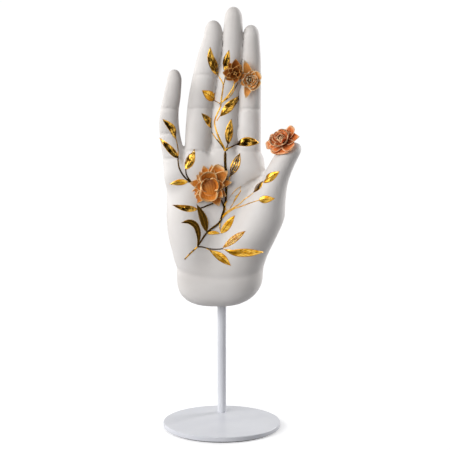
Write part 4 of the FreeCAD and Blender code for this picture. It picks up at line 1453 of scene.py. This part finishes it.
@dataclass(frozen=True)
class GoldLustre:
    """Gold lustre, brushed on in a thin resinous coat, engraved while soft and fired.

    That gives the eye real metal, with engraved veins that slant from a midrib and a rim of its own. Its
    colour varies in patches between deep and bright: burnished on the bright tone, painted reflections of
    dark and bright surroundings on the shaded tone, and near black throughout on the dark tone as a painted
    dark reflection. On the shaded and dark tones the pale rim is a painted highlight along the edge. The real
    veins are about 0.15 mm wide, too fine to show, so they are drawn 0.5 mm wide.
    """

    name: str
    deep: str
    bright: str
    vein: str
    rim: str
    roughness: Pair = (0.14, 0.3)
    tone_stops: Pair = (0.42, 0.6)
    patch_mm: float = 3.0
    leaf_mm: float = 19.9
    vein_spacing_mm: float = 2.5
    vein_slant: float = 0.55
    vein_depth_mm: float = 0.02
    # Where each mark begins and is full: the veins on their sine, the others as shares of the leaf's width
    vein_range: Pair = (0.6, 0.95)
    midrib_range: Pair = (0.06, 0.03)
    rim_range: Pair = (0.4, 0.46)

    def build(self) -> Material:
        """Veins and rim follow the leaf's own pattern, and the patches of colour and roughness follow the
        place.

        A vein is where the sine of the place along the leaf, less a share of the distance from the midrib, is
        near its top.

        Returns:
            The material.
        """
        material, shader, add = new_material(self.name)
        along, _, aside = pattern_sockets(add)
        place = add("ShaderNodeTexCoord").outputs["Object"]
        fine = {"Scale": 1 / (self.patch_mm * MM), "Detail": 2.0}
        # Patches of colour: painted reflection on the shaded and dark tones, burnished gold on the bright
        # one; the same noise varies the roughness.
        burnish_and_reflection = add("ShaderNodeTexNoise", fine, {"Vector": place}).outputs["Fac"]
        stops = tuple(zip(self.tone_stops, (self.deep, self.bright)))
        tone = add("ShaderNodeValToRGB", {"stops": stops}, {"Fac": burnish_and_reflection})
        less = {"operation": "MULTIPLY_ADD", 1: -self.vein_slant}
        slant = add("ShaderNodeMath", less, {0: aside, 2: along}).outputs[0]
        turns = 2 * math.pi * self.leaf_mm / self.vein_spacing_mm
        wave = add("ShaderNodeMath", {"operation": "MULTIPLY", 1: turns}, {0: slant}).outputs[0]
        sine = add("ShaderNodeMath", {"operation": "SINE"}, {0: wave}).outputs[0]
        line = add("ShaderNodeMapRange", dict(zip(FROM, self.vein_range)), {"Value": sine}).outputs[0]
        midrib = add("ShaderNodeMapRange", dict(zip(FROM, self.midrib_range)), {"Value": aside}).outputs[0]
        veins = add("ShaderNodeMath", {"operation": "MAXIMUM"}, {0: line, 1: midrib}).outputs[0]
        veined = add(
            "ShaderNodeMix", {"data_type": "RGBA", 7: linear(self.vein)},
            {0: veins, 6: tone.outputs["Color"]},
        )
        # The rim colour: a painted highlight along the edge on the shaded and dark tones.
        edge = add("ShaderNodeMapRange", dict(zip(FROM, self.rim_range)), {"Value": aside}).outputs[0]
        colour = add(
            "ShaderNodeMix", {"data_type": "RGBA", 7: linear(self.rim)}, {0: edge, 6: veined.outputs[2]},
        )
        dull = add("ShaderNodeMapRange", dict(zip(TO, self.roughness)), {"Value": burnish_and_reflection})
        sunk = {"Distance": self.vein_depth_mm * MM, "Strength": 0.5, "invert": True}
        cut = add("ShaderNodeBump", sunk, {"Height": veins})
        feed(
            shader, Base_Color=colour.outputs[2], Metallic=1.0, Roughness=dull.outputs[0],
            Normal=cut.outputs["Normal"],
        )
        return material


@dataclass(frozen=True)
class TintedPetal:
    """Porcelain petals, pressed thin by hand and stained before a satin glaze.

    That gives the eye a soft sheen and fine ribs. The colour darkens towards the petal's base as painted
    shade where the petals crowd, and pales to thin rims and tips as painted highlights. The real ribs are
    about 0.3 mm apart, too fine to show, so they are drawn 0.67 mm apart on a petal 8 mm wide.
    """

    name: str
    throat_shade: str
    body: str
    rim: str
    vein: str
    roughness: float = 0.42
    gloss: float = 0.15
    mottle_mm: float = 1.6
    petal_mm: float = 8.0
    rib_spacing_mm: float = 0.67
    rib_height_mm: float = 0.08
    # Where the painted shade at the petal's base turns to the body colour, and where the pale rim and tip,
    # painted highlights, and a rib, begin and are full
    tone_stops: Pair = (0.12, 0.72)
    side_range: Pair = (0.37, 0.48)
    tip_range: Pair = (0.8, 0.98)
    rib_range: Pair = (0.55, 1.0)
    rib_share: float = 0.6
    mottle_range: Pair = (0.82, 1.12)

    def build(self) -> Material:
        """Colour follows the petal's own pattern: length along it, and distance from its middle.

        Returns:
            The material.
        """
        material, shader, add = new_material(self.name)
        along, across, aside = pattern_sockets(add)
        # Painted shade: the colour darkens from the body towards the petal's base.
        stops = tuple(zip(self.tone_stops, (self.throat_shade, self.body)))
        tone = add("ShaderNodeValToRGB", {"stops": stops}, {"Fac": along})
        # Painted highlights: the colour pales towards the rims and the tip.
        sides = add("ShaderNodeMapRange", dict(zip(FROM, self.side_range)), {"Value": aside}).outputs[0]
        tip = add("ShaderNodeMapRange", dict(zip(FROM, self.tip_range)), {"Value": along}).outputs[0]
        edge = add("ShaderNodeMath", {"operation": "MAXIMUM"}, {0: sides, 1: tip}).outputs[0]
        turns = 2 * math.pi * self.petal_mm / self.rib_spacing_mm
        fan = add("ShaderNodeMath", {"operation": "MULTIPLY", 1: turns}, {0: across}).outputs[0]
        ribs = add("ShaderNodeMath", {"operation": "SINE"}, {0: fan}).outputs[0]
        top = dict(zip((*FROM, TO[1]), (*self.rib_range, self.rib_share)))
        rib = add("ShaderNodeMapRange", top, {"Value": ribs})
        veined = add(
            "ShaderNodeMix", {"data_type": "RGBA", 7: linear(self.vein)},
            {0: rib.outputs[0], 6: tone.outputs["Color"]},
        )
        edged = add(
            "ShaderNodeMix", {"data_type": "RGBA", 7: linear(self.rim)}, {0: edge, 6: veined.outputs[2]},
        )
        place = add("ShaderNodeTexCoord").outputs["Object"]
        fine = {"Scale": 1 / (self.mottle_mm * MM), "Detail": 3.0}
        mottle = add("ShaderNodeTexNoise", fine, {"Vector": place}).outputs["Fac"]
        shade = add("ShaderNodeMapRange", dict(zip(TO, self.mottle_range)), {"Value": mottle})
        toned = add(
            "ShaderNodeMix", {"data_type": "RGBA", "blend_type": "MULTIPLY", 0: 1.0},
            {6: edged.outputs[2], 7: shade.outputs[0]},
        )
        ribbed = add(
            "ShaderNodeBump", {"Distance": self.rib_height_mm * MM, "Strength": 0.7}, {"Height": ribs},
        )
        feed(
            shader, Base_Color=toned.outputs[2], Roughness=self.roughness, Specular_IOR_Level=self.gloss,
            Normal=ribbed.outputs["Normal"],
        )
        return material


@dataclass(frozen=True)
class GrainedStuff:
    """A plain material: two near tones and a bump, each in a grain of a real size."""

    name: str
    dark: str
    light: str
    roughness: float
    grain_mm: float
    tone_mm: float
    metallic: float = 0.0
    tone_stops: Pair = (0.3, 0.7)
    grain_height_mm: float = 0.01

    def build(self) -> Material:
        """Tones and bump from noise of their own sizes.

        Returns:
            The material.
        """
        material, shader, add = new_material(self.name)
        place = add("ShaderNodeTexCoord").outputs["Object"]
        mottle = add("ShaderNodeTexNoise", {"Scale": 1 / (self.tone_mm * MM)}, {"Vector": place})
        stops = tuple(zip(self.tone_stops, (self.dark, self.light)))
        tone = add("ShaderNodeValToRGB", {"stops": stops}, {"Fac": mottle.outputs["Fac"]})
        feed(
            shader, Base_Color=tone.outputs["Color"], Metallic=self.metallic, Roughness=self.roughness,
            Normal=tooth(add, place, self.grain_mm, self.grain_height_mm),
        )
        return material


# Gold lustre on bare porcelain: bright burnished gold, a shaded copy with painted dark and bright reflection
# patches, and a dark copy painted near black as a dark reflection, with light lines and a painted highlight
# along the rim.
GOLDS = {
    BRIGHT: GoldLustre(
        "bright_gold_lustre", deep="#D6961E", bright="#F8CA5C", vein="#8A5A14", rim="#BE801C",
        roughness=(0.3, 0.42),
    ),
    SHADED: GoldLustre("shaded_gold_lustre", deep="#543608", bright="#F0BA50", vein="#1A0E02", rim="#CE962C"),
    DARK: GoldLustre("gold_lustre_painted_dark", deep="#060300", bright="#1C1004", vein="#785418", rim="#BC8E38"),
}
# Stained porcelain petals: a yellow-brown stain, a pink-orange one, a dark one and a light one, each
# darkened at the petal's base as painted shade and paled at rims and tips as painted highlights.
BLOSSOMS = {
    PALM_BLOSSOM: TintedPetal(
        "amber_stained_porcelain", throat_shade="#662A04", body="#D27C2A", rim="#FFD89C", vein="#ECA658",
    ),
    THUMB_BLOSSOM: TintedPetal(
        "coral_stained_porcelain", throat_shade="#7A2806", body="#DE7A3E", rim="#FFCFA0", vein="#F09C60",
    ),
    MIDDLE_BLOSSOM: TintedPetal(
        "umber_stained_porcelain", throat_shade="#361402", body="#8E480E", rim="#E8AC64", vein="#B8722A",
    ),
    INDEX_BLOSSOM: TintedPetal(
        "tan_stained_porcelain", throat_shade="#7C3A06", body="#F0A04A", rim="#FFE8BC", vein="#F4BE74",
    ),
}
# Polyester powder, sprayed and baked on steel: an even cool white satin with a 1.1 mm orange peel.
POWDER_COAT = GrainedStuff(
    "white_powder_coat", "#CFD0D6", "#D5D6DB", roughness=0.34, grain_mm=1.1, tone_mm=20.0,
    tone_stops=(0.35, 0.65),
)
# Zinc plate on a turned steel screw: a grey metal with a dull, faintly crystalline shine.
ZINC_PLATED_STEEL = GrainedStuff(
    "zinc_plated_steel", "#8F9398", "#B4B7BB", roughness=0.35, grain_mm=0.6, tone_mm=0.6, metallic=1.0,
)
# Nylon, turned from rod: a waxy off-white with the tool's soft marks.
TURNED_NYLON = GrainedStuff("turned_nylon", "#DCD8C8", "#E6E2D4", roughness=0.45, grain_mm=0.8, tone_mm=0.8)
# Brass tube, drawn through a die: a smooth yellow metal, slightly hazed.
DRAWN_BRASS = GrainedStuff(
    "drawn_brass", "#B48A3C", "#C9A050", roughness=0.3, grain_mm=0.7, tone_mm=0.7, metallic=1.0,
)
# Filled resin, poured and cured: a flat chalky cream, mottled by its filler.
CAST_RESIN = GrainedStuff("cast_resin", "#CFC9BB", "#DAD5C9", roughness=0.6, grain_mm=1.5, tone_mm=1.5)
# Foamed rubber, cut from sheet: a dead matt black with fine cells.
FOAM_RUBBER = GrainedStuff("non_slip_rubber", "#1C1C1D", "#28282A", roughness=0.85, grain_mm=0.7, tone_mm=0.7)


@dataclass(frozen=True)
class Stand:
    """The plate, rod and inner pieces, which keep their own shapes and get their finishes."""

    finishes: tuple[tuple[GrainedStuff, tuple[str, ...]], ...] = (
        (POWDER_COAT, ("base_plate", "stand_rod")), (ZINC_PLATED_STEEL, ("rod_screw",)),
        (TURNED_NYLON, ("turning_sleeve",)), (DRAWN_BRASS, ("socket_tube", "tube_stop")),
        (CAST_RESIN, ("wrist_plug",)), (FOAM_RUBBER, ("foot_pad",)),
    )

    def dress(self, nodes: dict[str, bpy.types.Object]) -> None:
        """Give each carried-over piece its material, in every slot that it has.

        Args:
            nodes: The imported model's objects by name.
        """
        for stuff, names in self.finishes:
            material = stuff.build()
            for piece in (nodes[name] for name in names):
                for slot in piece.material_slots:
                    slot.material = material
                if not piece.material_slots:
                    piece.data.materials.append(material)
                LOG.info("%s: %s", piece.name, material.name)


# Studio


@dataclass(frozen=True)
class Softbox:
    """A soft rectangular lamp aimed at the hand. Metres and watts."""

    name: str
    place: Triple
    size: Pair
    power: float
    aim: Triple = (0.0, 0.0, 0.18)

    def build(self) -> None:
        """Make the lamp."""
        data = bpy.data.lights.new(self.name, "AREA")
        data.shape, data.energy = "RECTANGLE", self.power
        data.size, data.size_y = self.size
        lamp = bpy.data.objects.new(self.name, data)
        lamp.location = self.place
        lamp.rotation_euler = (Vector(self.aim) - Vector(self.place)).to_track_quat("-Z", "Y").to_euler()
        bpy.context.scene.collection.objects.link(lamp)


@dataclass(frozen=True)
class Studio:
    """White paper under a soft key light from the left, and rim lights on both sides from behind. Metres."""

    floor_low: Pair = (-0.55, -0.55)
    floor_high: Pair = (0.6, 0.55)
    paper: str = "#DEDEDF"
    dim_paper: str = "#A0A0A2"
    floor_lift: float = 0.45
    flag_low: Triple = (-1.0, -0.55, 0.002)
    flag_high: Triple = (-0.06, -0.06, 0.45)
    air: str = "#F6F7FA"
    air_strength: float = 0.12
    white: str = "#FFFFFF"
    white_strength: float = 1.03
    lamps: tuple[Softbox, ...] = (
        Softbox("key_light", (-1.15, -0.95, 0.85), (1.7, 1.5), 32.0),
        Softbox("left_rim_light", (-1.15, 0.7, 0.5), (0.6, 1.2), 7.5),
        Softbox("right_rim_light", (1.2, 0.7, 0.5), (0.6, 1.2), 19.0),
        Softbox("front_fill", (-0.45, -1.6, 0.8), (1.2, 1.2), 2.4),
    )

    def build(self) -> None:
        """Make the floor, the lamps, the dark flags and the world."""
        self.floor()
        for lamp in self.lamps:
            lamp.build()
        self.flags()
        self.world()
        bpy.context.scene.view_settings.view_transform = "Standard"

    def plane(self, name: str, corners: tuple[Triple, ...], material: Material) -> bpy.types.Object:
        """Make a flat stage piece.

        Args:
            name: Its name.
            corners: Its four corners in order.
            material: Its material.

        Returns:
            The new object.
        """
        mesh = bpy.data.meshes.new(name)
        mesh.from_pydata(corners, [], [(0, 1, 2, 3)])
        mesh.materials.append(material)
        made = bpy.data.objects.new(name, mesh)
        bpy.context.scene.collection.objects.link(made)
        LOG.info("%s: stage", name)
        return made

    def shown_white(self, add: AddNode) -> Socket:
        """Tell what is seen from what lights the object.

        Args:
            add: add_node for the tree.

        Returns:
            A socket of 1 for a ray that the camera, gloss or glass sends, and 0 for any other.
        """
        path = add("ShaderNodeLightPath").outputs
        rays = {0: path["Is Camera Ray"], 1: path["Is Glossy Ray"]}
        seen = add("ShaderNodeMath", {"operation": "MAXIMUM"}, rays).outputs[0]
        rays = {0: seen, 1: path["Is Transmission Ray"]}
        return add("ShaderNodeMath", {"operation": "MAXIMUM"}, rays).outputs[0]

    def floor(self) -> None:
        """White seamless paper: diffuse, with a lift that only the camera, gloss and glass see."""
        material = bpy.data.materials.new("seamless_paper")
        material.use_nodes = True
        material.node_tree.nodes.clear()
        add = partial(add_node, material.node_tree)
        paper = add("ShaderNodeBsdfDiffuse", {"Color": linear(self.paper)})
        glow = add("ShaderNodeEmission", {"Color": linear(self.white), "Strength": self.floor_lift})
        both = add("ShaderNodeAddShader", links={0: paper.outputs[0], 1: glow.outputs[0]})
        dim = add("ShaderNodeBsdfDiffuse", {"Color": linear(self.dim_paper)})
        choice = {0: self.shown_white(add), 1: dim.outputs[0], 2: both.outputs[0]}
        mix = add("ShaderNodeMixShader", links=choice)
        add("ShaderNodeOutputMaterial", links={"Surface": mix.outputs[0]})
        (x0, y0), (x1, y1) = self.floor_low, self.floor_high
        self.plane("paper_floor", ((x0, y0, 0), (x1, y0, 0), (x1, y1, 0), (x0, y1, 0)), material)

    def flags(self) -> None:
        """Black cards in front and on the floor, hidden from the camera, for the gold to reflect."""
        material, shader, _ = new_material("black_card")
        feed(shader, Base_Color=linear("#0E0E0E"), Roughness=0.9)
        (x0, y0, low), (x1, y1, top) = self.flag_low, self.flag_high
        for name, corners in (
            ("black_flag_front", ((x0, y0, low), (x1, y0, low), (x1, y0, top), (x0, y0, top))),
            ("black_flag_floor", ((x0, y0, low), (x1, y0, low), (x1, y1, low), (x0, y1, low))),
        ):
            card = self.plane(name, corners, material)
            card.visible_camera = card.visible_diffuse = card.visible_shadow = False

    def world(self) -> None:
        """Even pale surroundings, white where the camera, gloss or glass sees them."""
        world = bpy.data.worlds.new("white_studio")
        bpy.context.scene.world = world
        world.use_nodes = True
        world.node_tree.nodes.clear()
        add = partial(add_node, world.node_tree)
        soft = add("ShaderNodeBackground", {"Color": linear(self.air), "Strength": self.air_strength})
        white = add("ShaderNodeBackground", {"Color": linear(self.white), "Strength": self.white_strength})
        choice = {0: self.shown_white(add), 1: soft.outputs[0], 2: white.outputs[0]}
        mix = add("ShaderNodeMixShader", links=choice)
        add("ShaderNodeOutputWorld", links={"Surface": mix.outputs[0]})


def main() -> None:
    """Load the frame, then make the camera, the hand, the gold, the blossoms, the stand and the studio."""
    logging.basicConfig(level=logging.INFO, format="%(name)s: %(message)s")
    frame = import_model()
    camera = PhotoCamera()
    camera.build()
    form = HandForm()
    form.build(BisquePorcelain().build())
    Foliage(form, camera).build({tone: gold.build() for tone, gold in GOLDS.items()})
    for blossom, glaze in BLOSSOMS.items():
        blossom.build(form, camera, glaze.build())
    Stand().dress(frame["nodes"])
    Studio().build()


if __name__ == "__main__":
    main()
